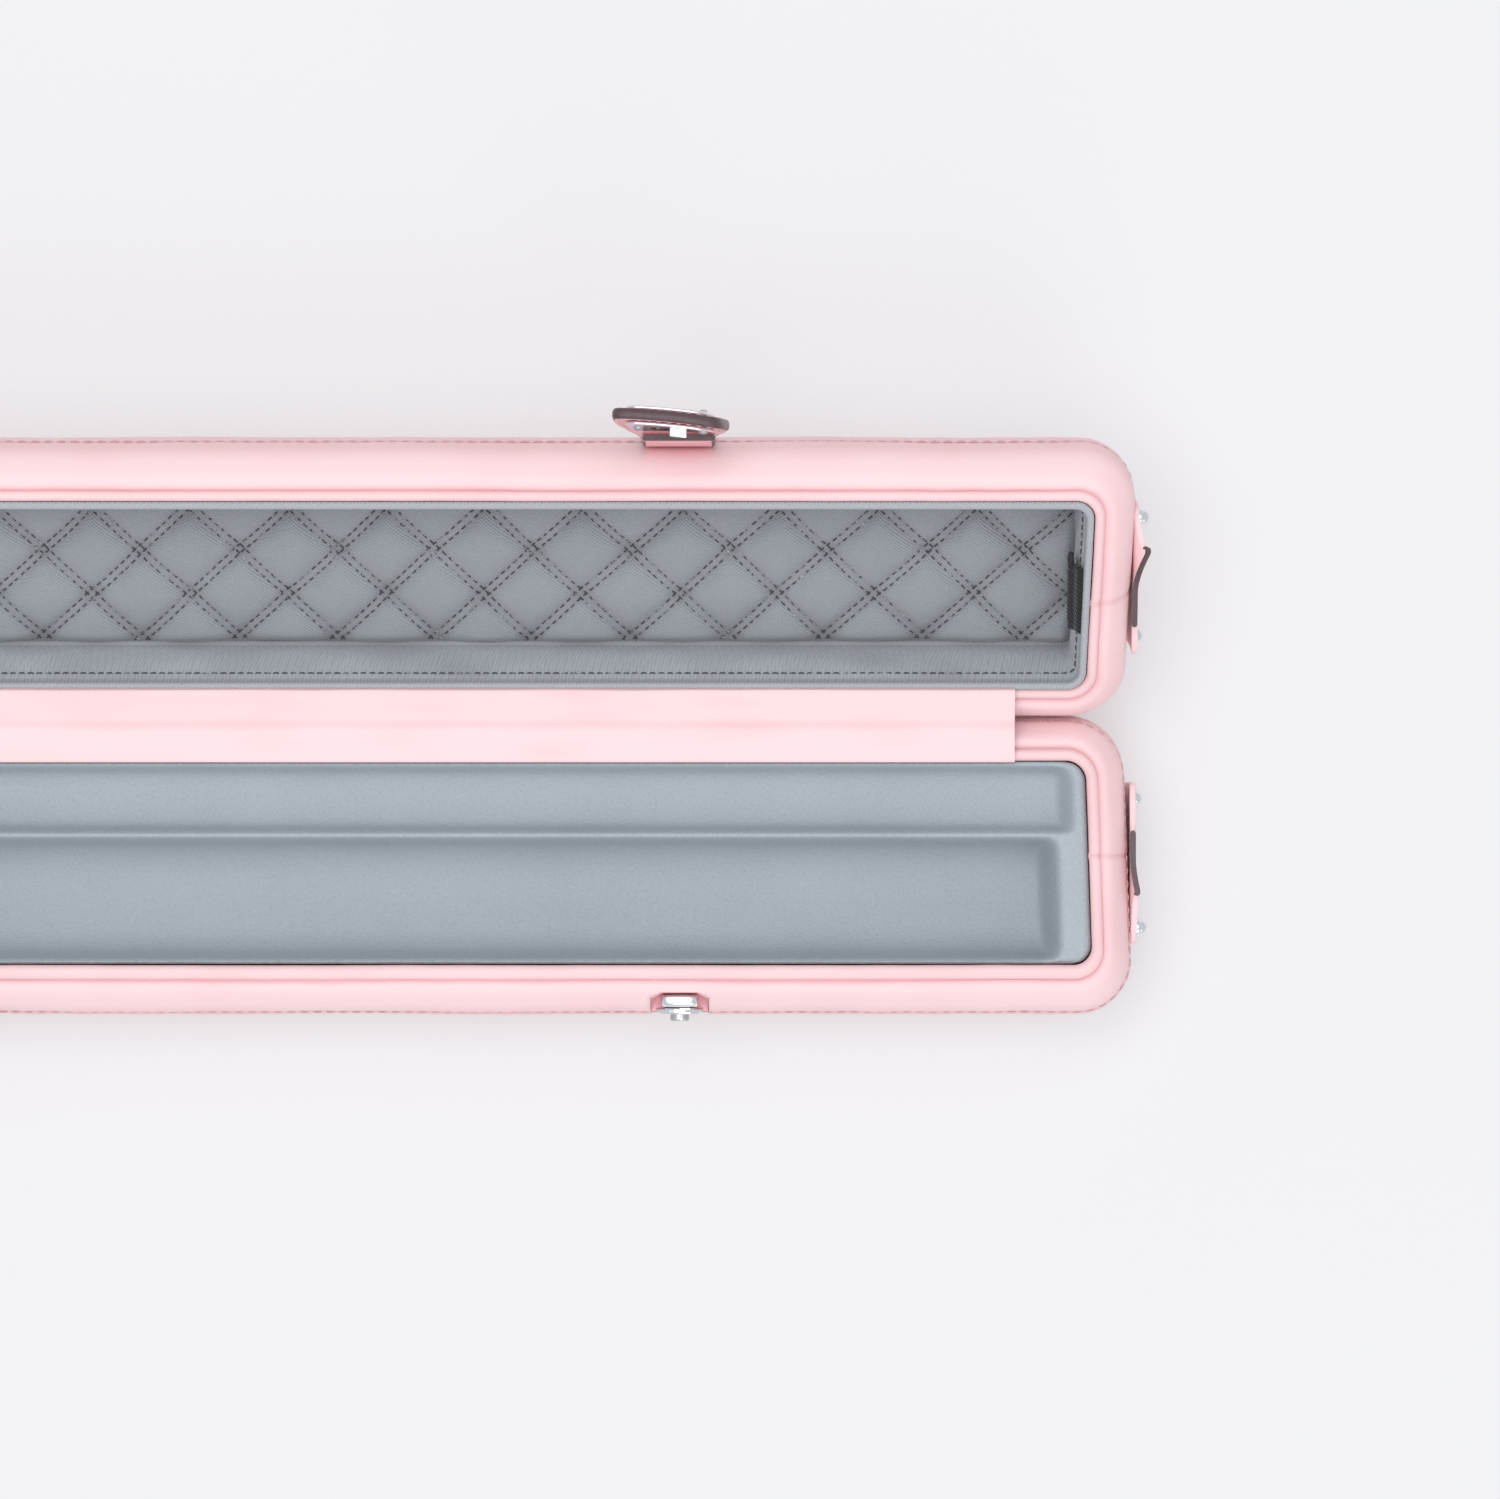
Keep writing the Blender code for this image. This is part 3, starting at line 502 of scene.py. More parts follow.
# %% Thread
def add_stitches(name, lines, pitch, size, finish, body, length=0.74):
    """Stitches along lines of (points, outward directions), in metres."""
    around = np.arange(6) * (2 * pi / 6)
    spans = np.array([-0.5, -0.36, 0.0, 0.36, 0.5])
    fat = np.array([0.45, 0.95, 1.0, 0.95, 0.45])
    rise = np.array([-0.9, 0.15, 0.75, 0.15, -0.9])
    all_points, count = [], 0
    for path, ways in lines:
        steps = np.linalg.norm(np.diff(path, axis=0), axis=1)
        run = np.concatenate([[0], np.cumsum(steps)])
        number = max(2, round(run[-1] / pitch))
        marks = (np.arange(number) + 0.5) * run[-1] / number
        here = np.stack([np.interp(marks, run, path[:, k]) for k in range(3)], axis=1)
        ahead = np.stack([np.interp(marks + 0.0002, run, path[:, k])
                          - np.interp(marks - 0.0002, run, path[:, k])
                          for k in range(3)], axis=1)
        up = np.stack([np.interp(marks, run, ways[:, k]) for k in range(3)], axis=1)
        ahead /= np.linalg.norm(ahead, axis=1, keepdims=True)
        across_line = np.cross(ahead, up)
        across_line /= np.linalg.norm(across_line, axis=1, keepdims=True)
        up = np.cross(across_line, ahead)
        reach = spans[None, :, None] * (run[-1] / number) * length
        ring_x = (fat[:, None] * np.cos(around)[None, :] * size)[None]
        ring_z = (rise[:, None] * size + fat[:, None] * np.sin(around)[None, :] * size)[None]
        cloud_of_points = (here[:, None, None] + ahead[:, None, None] * reach[..., None]
                           + across_line[:, None, None] * ring_x[..., None] + up[:, None, None]
                           * ring_z[..., None])
        all_points.append(cloud_of_points.reshape(-1, 3))
        count += number
    one = grid_faces(5, 6, False, True, True)
    faces = [[corner + 30 * i for corner in face] for i in range(count) for face in one]
    return add_piece(name, np.concatenate(all_points), faces, [finish], body, sharp=80, recalc=False)


def outward(half, ways, lift):
    """Directions in space for plan directions that lean up by the lift."""
    x, d = ways[:, 0], ways[:, 1]
    y, z = half.side * d, lift
    return np.stack([x, y * half.cos - z * half.sin, y * half.sin + z * half.cos], axis=1)


# %% [markdown]
# ## The padded walls
# Each half is a ring of leather drawn over foam: a rounded bead at the rim, a stitched groove beside it,
# and a long soft shoulder down to the table. It is swept round the plan from one section. The groove and
# the seam on the shoulder are pressed in by their thread, and slow ripples stop the leather from looking
# cast.

# %% Wall section
groove_drop = 0.0014
front_top, front_tuck = 0.00015, 0.0095
rear_lip, rear_top, rear_tuck = 0.0033, 0.0016, 0.006
butt_seam, butt_width = 0.036, 0.0007


class Wall:
    """The outer curve of a padded wall: a shoulder out to the widest place, and a rounder turn under the
    foot."""

    def __init__(self, width, lip, top, depth, widest, tuck):
        self.width, self.lip, self.top, self.depth, self.widest, self.tuck = width, lip, top, depth, widest, tuck
        self.groove = top + groove_drop

    def upper(self, angle, inside=0.0):
        """A place on the shoulder, and the way out of it."""
        out = self.lip + (self.width - inside - self.lip) * np.sin(angle)
        drop = self.groove + inside + (self.widest - self.groove - inside) * (1 - np.cos(angle))
        return out, drop, np.sin(angle), -np.cos(angle)

    def lower(self, angle, inside=0.0):
        out = self.width - inside - self.tuck * (1 - np.cos(angle))
        return out, self.widest + (self.depth - inside
                                   - self.widest) * np.sin(angle), np.cos(angle), np.sin(angle)

    def at(self, drop):
        """The same for a given drop."""
        if drop < self.widest:
            return self.upper(np.arccos(1 - (drop - self.groove) / (self.widest - self.groove)))
        return self.lower(np.arcsin((drop - self.widest) / (self.depth - self.widest)))

    def section(self, seam):
        """(out, drop, tone, swell) down the leather, from inside the rim, over it, and back inside the
        skin."""
        bead = np.linspace(0, pi, 13)
        # The third number is the tone, painted shade: heavy on the leather tucked inside the rim, and on the bead's
        # flanks more than on its crown.
        rows = [(0, self.top + 0.006, 0.9, 0), (0, self.top + 0.003, 0.8, 0)]
        rows += [(self.lip / 2 * (1 - cos(a)), self.groove - groove_drop * sin(a), 0.55 - 0.4 * sin(a), 0.4)
                 for a in bead]
        curve = [self.upper(a) for a in np.linspace(0, pi / 2, 38)[1:]]
        curve += [self.lower(a) for a in np.linspace(0, pi / 2, 28)[1:]]
        for out, drop, way_out, way_down in curve:
            from_groove = out - self.lip if drop < self.widest else 1.0
            press = 0.0004 * np.exp(-((drop - seam) / 0.0006) ** 2)
            press -= 0.0006 * np.exp(-((from_groove - 0.0028) / 0.0022) ** 2)
            # Painted shade: darker in the groove beside the bead, along the seam, and low on the wall.
            tone = 0.95 * np.exp(-(from_groove / 0.0011) ** 2) + 0.5 * np.exp(-((drop - seam) / 0.0005) ** 2)
            tone += 0.34 * min(1, max(0, (drop - 0.0055) / 0.005))
            rows.append((out - press * way_out, drop - press * way_down, tone,
                         min(1, (self.depth - drop) / 0.006)))
        # The return inside the skin gets a middling painted shade.
        for a in np.linspace(pi / 2, 0, 10):
            out, drop, _, _ = self.lower(a, skin)
            rows.append((out, drop, 0.6, 0))
        for a in np.linspace(pi / 2, 0, 8)[1:]:
            out, drop, _, _ = self.upper(a, skin)
            rows.append((out, drop, 0.6, 0))
        return rows + [(skin, self.groove + skin, 0.6, 0), (skin, self.top + 0.006, 0.9, 0)]


def front_of(half):
    return Wall(half.front_wall, half.lip, front_top, half.depth, half.widest, front_tuck)


def rear_of(half):
    return Wall(rear_wall + rear_bulge, rear_lip, rear_top, half.depth, half.depth / 2, rear_tuck)


def places(half, drop, inset=0.0):
    """The front and rear places of the outer surface at a drop, as the plan takes them."""
    (f, _, _, _), (r, _, _, _) = front_of(half).at(drop), rear_of(half).at(drop)
    return f - inset, drop, r - inset, drop


def wall_leather(half):
    front, rear = front_of(half).section(half.seam), rear_of(half).section(half.seam)
    rows, ways = plan(half, [(f[0], f[1], r[0], r[1]) for f, r in zip(front, rear)])
    x, d, drop = (rows[..., k] for k in range(3))
    where = half.points(x, d, drop)
    tones, free = (np.array([f[k] for f in front])[:, None] for k in (2, 3))
    butt = np.exp(-((d - butt_seam) / butt_width) ** 2) * (np.abs(ways[:, 0]) > 0.99)[None] * (free > 0)
    rear_side = np.maximum(0, -ways[:, 1])[None]
    swell = 0.00022 * ripple(where, 0.045, 3) + 0.00010 * ripple(where, 0.013, 4)
    swell = free * (swell * (1 - 0.8 * rear_side) - 0.0002) - 0.00035 * butt
    x, d = x + ways[:, 0] * swell, d + ways[:, 1] * swell
    # At the ends the groove's painted shade is weaker and the whole end is painted a little darker, also as shade;
    # the butt seam is darkened as painted shade, and a ripple adds random unevenness.
    at_end = np.abs(ways[:, 0])[None] ** 2 * (free > 0)
    tones = np.clip(tones * (1 - 0.6 * at_end) + 0.22 * at_end + 0.06 * ripple(where, 0.03, 5) + 0.35 * butt,
                    0, 1)
    return add_grid(f"{half.body}_leather", half.points(x, d, drop), [hide], half.body, round_rows=True,
                    tones=tones)


walls = {half.body: wall_leather(half) for half in halves}
for half in halves:
    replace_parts(walls[half.body], half.body + "_cover", half.body + "_padding")
    print(half.body, "leather:", len(walls[half.body].data.polygons), "faces")

# %% [markdown]
# ## Seams on the walls
# A seam runs round the shoulder of each half, holding the leather to the foam. Its path is the same plan
# as the leather's, at one height, so the thread lies in the groove that the section already presses in.
# The bottom sheets carry a second row near their edge.

# %% Seam stitches
seam_pitch, seam_inset, seam_stitch, bottom_stitch = 0.0036, 0.00045, 0.00028, 0.00022


def seam_line(half, drop, lift, inset=0.0, inward=False):
    """A closed line round the wall's outer surface."""
    rows, ways = plan(half, [places(half, drop, inset)])
    path = half.points(*rows[0].T)
    ways = outward(half, -ways if inward else ways, lift)
    return np.concatenate([path, path[:1]]), np.concatenate([ways, ways[:1]])


for half in halves:
    line = seam_line(half, half.seam, 0.40 if half is base else -0.25, inset=seam_inset)
    add_stitches(f"{half.body}_seam_thread", [line], seam_pitch, seam_stitch, pink_thread, half.body)

# %% [markdown]
# ## The bottom sheets
# The underside of the base and the back of the lid are one flat sheet each, tucked against the padded
# wall and sewn near the edge. Loops that step in from the edge give the sheet its rolled border, and the
# lid's swells a little in the middle, because there is felt under it.

# %% Bottom sheets
def bottom_sheet(half, swell):
    wall_f, wall_r = front_of(half), rear_of(half)
    edge_f, edge_r = wall_f.width - wall_f.tuck, wall_r.width - wall_r.tuck
    rows, tones = [], []
    # The third number is a tone, painted shade: dark at the tucked edge and in the sewn groove, none on the open
    # sheet.
    for step_in, lift, tone in [(0.0, -0.0015, 0.8), (0.0, -0.0004, 0.8), (0.0006, -0.0001, 0.5),
                                (0.0020, 0.0, 0.1),
                                (0.0036, 0.0, 0.3), (0.0040, -0.0003, 0.8), (0.0044, 0.0, 0.3),
                                (0.0065, 0.2, 0.0),
                                (0.010, 0.5, 0.0), (0.016, 0.8, 0.0), (0.023, 0.95, 0.0),
                                (0.0265, 1.0, 0.0)]:
        drop = half.depth + (lift * swell if lift > 0 else lift)
        rows.append((edge_f - step_in, drop, edge_r - step_in, drop))
        tones.append(tone)
    grid, _ = plan(half, rows)
    points = half.points(*np.moveaxis(grid, -1, 0))
    made = add_grid(f"{half.body}_bottom_leather", points, [hide], half.body, caps=True,
                    tones=np.array(tones)[:, None] * np.ones(grid.shape[1]))
    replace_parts(made, half.body + "_outer_sheet")
    line, ways = plan(half, [(edge_f - 0.004, half.depth - 0.0001, edge_r - 0.004, half.depth - 0.0001)])
    path = half.points(*line[0].T)
    down = np.repeat(outward(half, np.zeros((1, 2)), -1.0), len(path) + 1, axis=0)
    add_stitches(f"{half.body}_bottom_thread", [(np.concatenate([path, path[:1]]), down)], seam_pitch,
                 bottom_stitch, pink_thread,
                 half.body)


bottom_sheet(base, 0.0)
bottom_sheet(lid, 0.0010)

# %% [markdown]
# ## The cue tray
# The tray is foam under one stretched sheet of leatherette, so its edges are soft and there are no seams.
# It is a height field: for each place along and across, how far down the surface lies. The two channels
# are rounded troughs with sloping ends, and a short blur across the tray rounds their edges, as the
# stretched sheet does.

# %% Tray surface
tray_gap, tray_top, tray_foot = 0.0003, 0.0020, 0.0245
tray_step, end_step, end_run, blur = 0.0005, 0.001, 0.066, 0.0009
shaft_channel = {"middle": 0.0205, "width": 0.0172, "depth": 0.0090, "end_margin": 0.0025,
                 "end_slope": 0.006}
butt_channel = {"middle": 0.0477, "width": 0.0322, "depth": 0.0210, "end_margin": 0.0074,
                "end_slope": 0.0065}
tray_end = lining_end - tray_gap
near_ends = np.arange(0, end_run, end_step)
spans = np.concatenate([-tray_end + near_ends, np.linspace(-tray_end + end_run, tray_end - end_run, 90),
                        (tray_end - near_ends)[::-1]])
stations = np.arange(rear_wall + tray_gap, base.lining_front - tray_gap + 1e-6, tray_step)


def smooth(share):
    share = np.clip(share, 0, 1)
    return share * share * (3 - 2 * share)


def trough(x, d, middle, width, depth, end_margin, end_slope):
    """How deep a channel is at a place."""
    across_share = np.clip(1 - np.abs((d - middle) / (width / 2)) ** 3.4, 0, 1) ** (1 / 3.4)
    to_end = (tray_end - end_margin - np.abs(x)) / end_slope
    return depth * across_share * smooth(to_end)


def fit_corners(x, d, x_end, d_rear, d_front, radius):
    """Pulls the ends of a rectangular grid in, so that its outline gets round corners."""
    edge = np.minimum(d - d_rear, d_front - d)
    pull = radius - np.sqrt(np.maximum(0, radius ** 2 - np.maximum(0, radius - edge) ** 2))
    return x - np.sign(x) * pull * smooth((np.abs(x) - x_end + 0.02) / 0.02)


x, d = np.meshgrid(spans, stations, indexing="ij")
deep = np.maximum(trough(x, d, **shaft_channel), trough(x, d, **butt_channel))
kernel = np.exp(-(np.arange(-5, 6) * tray_step / blur) ** 2)
padded_deep = np.pad(deep, ((0, 0), (5, 5)), mode="edge")
deep = np.stack([padded_deep[:, k:k + deep.shape[1]] * kernel[k]
                 for k in range(11)]).sum(axis=0) / kernel.sum()
edge = np.minimum(np.minimum(d - stations[0], stations[-1] - d), tray_end - np.abs(x))
roll = 0.0012 * (1 - np.clip(edge / 0.0015, 0, 1)) ** 2
x_fit = fit_corners(x, d, tray_end, stations[0], stations[-1], lining_radius)
drop = tray_top + deep + roll
drop = drop + 0.00012 * ripple(base.points(x, d, drop), 0.03, 11)
tray_grid = np.stack([np.pad(v, 1, mode="edge") for v in (x_fit, d, drop)], axis=-1)
for border in (tray_grid[0], tray_grid[-1], tray_grid[:, 0], tray_grid[:, -1]):
    border[:, 2] = tray_foot


def rim_of(rows, columns):
    """The numbers of a grid's border points, in order."""
    top, side = np.arange(columns), np.arange(1, rows - 1)
    return [*top, *(side * columns + columns - 1), *(top[::-1] + (rows - 1) * columns),
            *(side[::-1] * columns)]


def add_field(name, grid, half, finishes, tones=None):
    """A height field over a half, closed underneath."""
    rows, columns = grid.shape[:2]
    faces = grid_faces(rows, columns, False, False) + [[int(i) for i in rim_of(rows, columns)]]
    points = half.points(*np.moveaxis(grid, -1, 0))
    return add_piece(name, points, faces, finishes, half.body, tones=tones, sharp=70)


tray = add_field("tray_leatherette", tray_grid, base, [leatherette])
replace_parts(tray, "tray_floor", "tray_shaft_bed", "tray_ridge", "tray_left_end", "tray_right_end")
print("tray:", len(tray.data.polygons), "faces")

# %% [markdown]
# ## The quilted pad
# The lid's pad is twill over wadding, sewn through in two families of slanted double lines that cross in
# diamonds. Between the lines it puffs up, and at each line it is pulled down. The distance to the nearest
# line of each family is simple arithmetic, so the pad is a second height field, fine enough to hold the
# two grooves of a double line.

# %% Quilt shape
diamond_x, diamond_d = 0.027, 0.01325
double_gap = 0.0010
quilt_pitch, quilt_stitch, stitch_lift = 0.0024, 0.00023, 0.00026
quilt_rear, quilt_front = rear_wall + 0.0043, lid.lining_front - 0.0043
diamond_start = (0.0028, quilt_rear + 0.0020)
quilt_end = lining_end - 0.0034


def to_line(x, d, lean):
    """Distance to the nearest sewn line of one family."""
    phase = (x - diamond_start[0]) / diamond_x + lean * (d - diamond_start[1]) / (2 * diamond_d)
    return np.abs(phase - np.round(phase)) / np.hypot(1 / diamond_x, 1 / (2 * diamond_d))


def quilt_drop(x, d):
    """The drop of the pad's surface."""
    height = np.ones_like(x)
    for lean in (-1, 1):
        off = to_line(x, d, lean)
        puff = np.where(off > double_gap, 1 - np.exp(-(off - double_gap) / 0.0022),
                        0.22 * (1 - (off / double_gap) ** 2))
        height = height * (0.24 + 0.76 * puff)
    edge = np.minimum(np.minimum(d - quilt_rear, quilt_front - d), quilt_end - np.abs(x))
    border = smooth((edge + 0.0008) / 0.0045)
    flat = np.stack([x, d, 0 * x], axis=-1)
    crease = 0.00018 * ripple(flat, 0.006, 21) * (1 - np.clip(height, 0, 1)) + 0.00025 * ripple(flat, 0.02,
            22)
    return lid.floor - 0.0016 - (0.0039 * height * border + crease)


def drift(x, d, seed):
    """Lines sewn by hand on soft cloth wander a little."""
    flat = np.stack([x, d, 0 * x], axis=-1)
    return x + 0.0005 * ripple(flat, 0.05, seed), d + 0.0004 * ripple(flat, 0.04, seed + 1)


x, d = np.meshgrid(np.arange(-quilt_end, quilt_end + 1e-6, 0.00105),
                   np.linspace(quilt_rear, quilt_front, 62), indexing="ij")
drop = quilt_drop(x, d)
height_share = (lid.floor - drop) / 0.0055
x_moved, d_moved = drift(x, d, 31)
x_moved = fit_corners(x_moved, d, quilt_end, quilt_rear, quilt_front, 0.004)
quilt_grid = np.stack([np.pad(v, 1, mode="edge") for v in (x_moved, d_moved, drop)], axis=-1)
for border in (quilt_grid[0], quilt_grid[-1], quilt_grid[:, 0], quilt_grid[:, -1]):
    border[:, 2] = lid.floor - 0.0002
# Painted shade: the pad is darker the lower it lies, down in its sewn lines.
tones = np.pad(np.clip(0.80 - height_share * 1.25, 0, 0.8), 1, mode="edge")
quilt = add_field("quilt_cloth", quilt_grid, lid, [twill], tones=tones)
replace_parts(quilt, "quilted_pad")
print("quilt:", len(quilt.data.polygons), "faces")

# %% [markdown]
# Each sewn line is really two rows of dark thread, with a stitch every 2.4 mm. The rows take their height
# from the same function as the pad, so they lie in its grooves whatever its shape is.

# %% Quilt stitches
lines = []
up_from_lid = outward(lid, np.zeros((1, 2)), 1.0)
spread = np.hypot(1 / diamond_x, 1 / (2 * diamond_d)) * double_gap
for lean in (-1, 1):
    for number in range(-17, 18):
        for offset in (-spread, spread):
            run = np.linspace(quilt_rear + 0.001, quilt_front - 0.001, 44)
            x = (number + offset - lean * (run - diamond_start[1])
                 / (2 * diamond_d)) * diamond_x + diamond_start[0]
            inside = np.abs(x) < quilt_end - 0.001
            if inside.sum() > 4:
                x, run = x[inside], run[inside]
                moved_x, moved_d = drift(x, run, 31)
                path = lid.points(moved_x, moved_d, quilt_drop(x, run) - stitch_lift)
                lines.append((path, np.repeat(up_from_lid, len(x), axis=0)))
add_stitches("quilt_thread", lines, quilt_pitch, quilt_stitch, grey_thread, "lid", length=0.68)
print("quilt rows:", len(lines))

# %% [markdown]
# ## The lid's lined walls
# Round the pad, the walls are lined with the same twill over thin wadding, with a rolled binding at the
# rim. Here the twill is coloured lighter than on the pad, as painted light, and its tone paints shade on
# the binding's inner side, just under it and towards the bottom. Cloth glued to a wall is never flat, so
# slow and quick ripples push it in and out, more in the middle of its height.

# %% Lining
# The third number is a tone, painted shade: on the back against the wall, on the binding's inner side, just under
# it, and more towards the bottom.
rows = [(-0.0003, lid.floor, 0.8), (-0.0003, 0.0022, 0.8)]
rows += [(-0.0014 + 0.0011 * cos(a), 0.0013 - 0.0010 * sin(a), 0.1 + 0.4 * max(0, -cos(a)) ** 3)
         for a in np.linspace(0, pi, 11)]
for share in np.linspace(0.03, 1, 22):
    rows.append((-0.0026 - 0.0018 * share - 0.0007 * sin(pi * share),
                 0.0018 + (lid.floor - 0.0032 - 0.0018) * share,
                 0.5 * np.exp(-(share / 0.05) ** 2) + 0.35 * share ** 6))
rows += [(-0.0052, lid.floor - 0.0026, 0.7), (-0.0052, lid.floor, 0.8)]
grid, ways = plan(lid, [(out, drop, out, drop) for out, drop, _ in rows])
x, d, drop = (grid[..., k] for k in range(3))
where = lid.points(x, d, drop)
depth_share = np.clip((drop - 0.003) / 0.018, 0, 1) * (np.arange(len(rows)) > 12)[:, None]
push = (0.00055 * ripple(where, 0.028, 41) + 0.00025 * ripple(where, 0.009, 42)) * np.sin(pi * depth_share)
# A ripple adds random unevenness to the tone.
tones = np.clip(np.array([r[2] for r in rows])[:, None] + 0.15 * ripple(where, 0.02, 43) * (depth_share > 0),
                0, 1)
lining = add_grid("lining_cloth", lid.points(x + ways[:, 0] * push, d + ways[:, 1] * push, drop),
                  [painted_light_twill], "lid",
                  round_rows=True, tones=tones)
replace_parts(lining, "lid_lining")

line, ways = plan(lid, [(-0.00345, 0.0050, -0.00345, 0.0050)])
path = lid.points(*line[0].T)
inward = outward(lid, -ways, 0.15)
add_stitches("lining_thread", [(np.concatenate([path, path[:1]]), np.concatenate([inward, inward[:1]]))],
             0.0024, 0.00020,
             grey_thread, "lid")
print("lining:", len(lining.data.polygons), "faces")

# %% [markdown]
# ## Straps
# A strap is a ribbon with thickness: its section has two broad faces and two rounded, painted edges. It
# is carried along a path of stations, each with its middle, the way across it and the way out of it. The
# latch straps, the end straps and the webbing tabs are all made by this one function.

# %% Ribbon
def add_ribbon(name, middles, sides, outs, widths, thick, finishes, body, columns=14, lift=None,
               painted=None):
    """A closed ribbon through stations. The second finish, if there is one, goes on its two long edges,
    or only on
    as many of the first spans as painted says."""
    flat = np.linspace(-0.5, 0.5, columns)
    edge = np.linspace(pi / 2, -pi / 2, 5)[1:-1]
    section = [(a, thick / 2, 0) for a in flat]
    section += [(0.5, thick / 2 * sin(t), thick / 2 * cos(t)) for t in edge]
    section += [(a, -thick / 2, 0) for a in flat[::-1]]
    section += [(-0.5, -thick / 2 * sin(t), -thick / 2 * cos(t)) for t in edge]
    a, b, extra = (np.array(column) for column in zip(*section))
    widths = np.asarray(widths, dtype=float)[:, None] * np.ones(len(a))
    across_by = a * (widths - thick) + extra
    raised = b[None, :] + (0 if lift is None
                           else lift(np.arange(len(middles))[:, None] / (len(middles) - 1), a[None, :]))
    grid = middles[:, None] + sides[:, None] * across_by[..., None] + outs[:, None] * raised[..., None]
    on_edge = [j >= columns - 1 and (j - columns + 1) % (columns + 3) < 4 for j in range(len(a))]
    which = [1 if flag and len(finishes) > 1 and (painted is None or row < painted) else 0
             for row in range(len(middles) - 1) for flag in on_edge]
    which += [len(finishes) - 1] * 2
    return add_grid(name, grid, finishes, body, caps=True, face_finish=which, sharp=50)


def edge_lines(middles, sides, outs, widths, thick, inset):
    """Stitch lines along both long edges of a ribbon, on its outer face."""
    half_run = np.asarray(widths, dtype=float)[:, None] / 2 - inset
    face = middles + outs * (thick / 2 - 0.0001)
    return [(face + sides * half_run * sign, outs) for sign in (-1, 1)]


# %% [markdown]
# ## The hinge leather
# One long strip of hide is the case's hinge. It crosses the fold, so it can't ride on one half: it is
# shaped in the open pose, lying with the base on one side of the hinge line and with the lid on the other,
# bending smoothly between, and rides on neither. Many stations across the fold shape that bend, and fine
# creases run along it where it has been opened and shut.

# %% Hinge leather
strip_length, strip_columns, strip_thick, strip_rise = 0.7536, 300, 0.0011, 0.00095
reach = 0.0103
shares = np.linspace(-1, 1, 31)
soft = 0.0034
bend = tilt * smooth((shares * reach + soft) / (2 * soft))
step = reach * (shares[1] - shares[0])
path_y = np.concatenate([[0], np.cumsum(np.cos((bend[1:] + bend[:-1]) / 2)) * step])
path_z = np.concatenate([[0], np.cumsum(np.sin((bend[1:] + bend[:-1]) / 2)) * step])
path_y, path_z = path_y - path_y[15], path_z - path_z[15]
path_z += strip_rise - 0.0001 * np.cos(shares * pi / 2)
along_x = np.linspace(-strip_length / 2, strip_length / 2, strip_columns)
x, y = np.meshgrid(along_x, path_y, indexing="xy")
z = np.repeat(path_z[:, None], strip_columns, axis=1)
where = np.stack([x, y, z], axis=-1)
dent = 0.00011 * ripple(where * (0.25, 1, 1), 0.006, 51) + 0.00013 * ripple(where, 0.03, 52)
top = np.stack([x, y - np.sin(bend)[:, None] * dent, z + np.cos(bend)[:, None] * dent], axis=-1)
under = np.stack([x, y + np.sin(bend)[:, None] * strip_thick, z - np.cos(bend)[:, None] * strip_thick],
                 axis=-1)
grid = np.concatenate([top, under[:, ::-1]], axis=1) + np.array(hinge)
# Painted shade along the middle of the fold and at the strip's two edges; a ripple on top adds random unevenness.
fold_and_edge_shade = 0.30 * np.exp(-(shares / 0.12) ** 2) + 0.30 * (np.abs(shares) > 0.95)
tones = np.clip(fold_and_edge_shade[:, None] + 0.10 * ripple(grid * (0.2, 1, 1), 0.005, 53), 0, 1)
hinge_leather = add_grid("hinge_leather", grid, [hide], None, caps=True, tones=tones)
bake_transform(hinge_leather)
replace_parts(hinge_leather, "hinge_strip")
print("hinge leather:", len(hinge_leather.data.polygons), "faces")

# %% [markdown]
# ## Domes
# Studs and rivets are turned or pressed domes. One function spins a quarter curve round a way out of the
# surface, with a small flat collar at its foot where a real stud is crimped.

# %% Dome
def add_dome(name, centre, way, radius, height, finish, body):
    """A dome standing on a surface."""
    way = Vector(way).normalized()
    first = way.orthogonal().normalized() if abs(way.x) > 0.9 else Vector((1, 0, 0))
    second = way.cross(first)
    profile = [(1.0, -0.25), (1.0, 0.0), (0.98, 0.12), (0.90, 0.16)]
    profile += [(0.88 * cos(a), 0.16 + 0.84 * sin(a)) for a in np.linspace(0.05, pi / 2 - 0.04, 12)]
    around = np.linspace(0, 2 * pi, 32, endpoint=False)
    grid = [[Vector(centre) + way * (h * height) + first * (r * radius * cos(t)) + second
             * (r * radius * sin(t))
             for t in around] for r, h in profile]
    return add_grid(name, np.array(grid), [finish], body, caps=True, sharp=60)


# %% [markdown]
# ## End straps and studs
# Each end of each half carries a small leather strap held by two chrome studs. The leather is cut wide at
# its foot and narrow at the top, its edges are painted dark, and the front corner of its top has curled
# away from the case. It follows the curve of the wall, whose shape the wall's own section gives.

# %% End fittings
strap_middle, strap_thick, strap_gap = 0.038, 0.0016, 0.0004
strap_top_drop, strap_foot_rise, strap_foot, strap_stations = 0.0072, 0.0060, 0.0445, 26
stud_spacing, stud_drop, stud_radius, stud_height = 0.0355, 0.0144, 0.0026, 0.0027


def end_place(half, drop):
    """How far along the case the end wall's surface is, at a drop."""
    return lining_end + front_of(half).at(drop)[0] / half.front_wall * end_wall


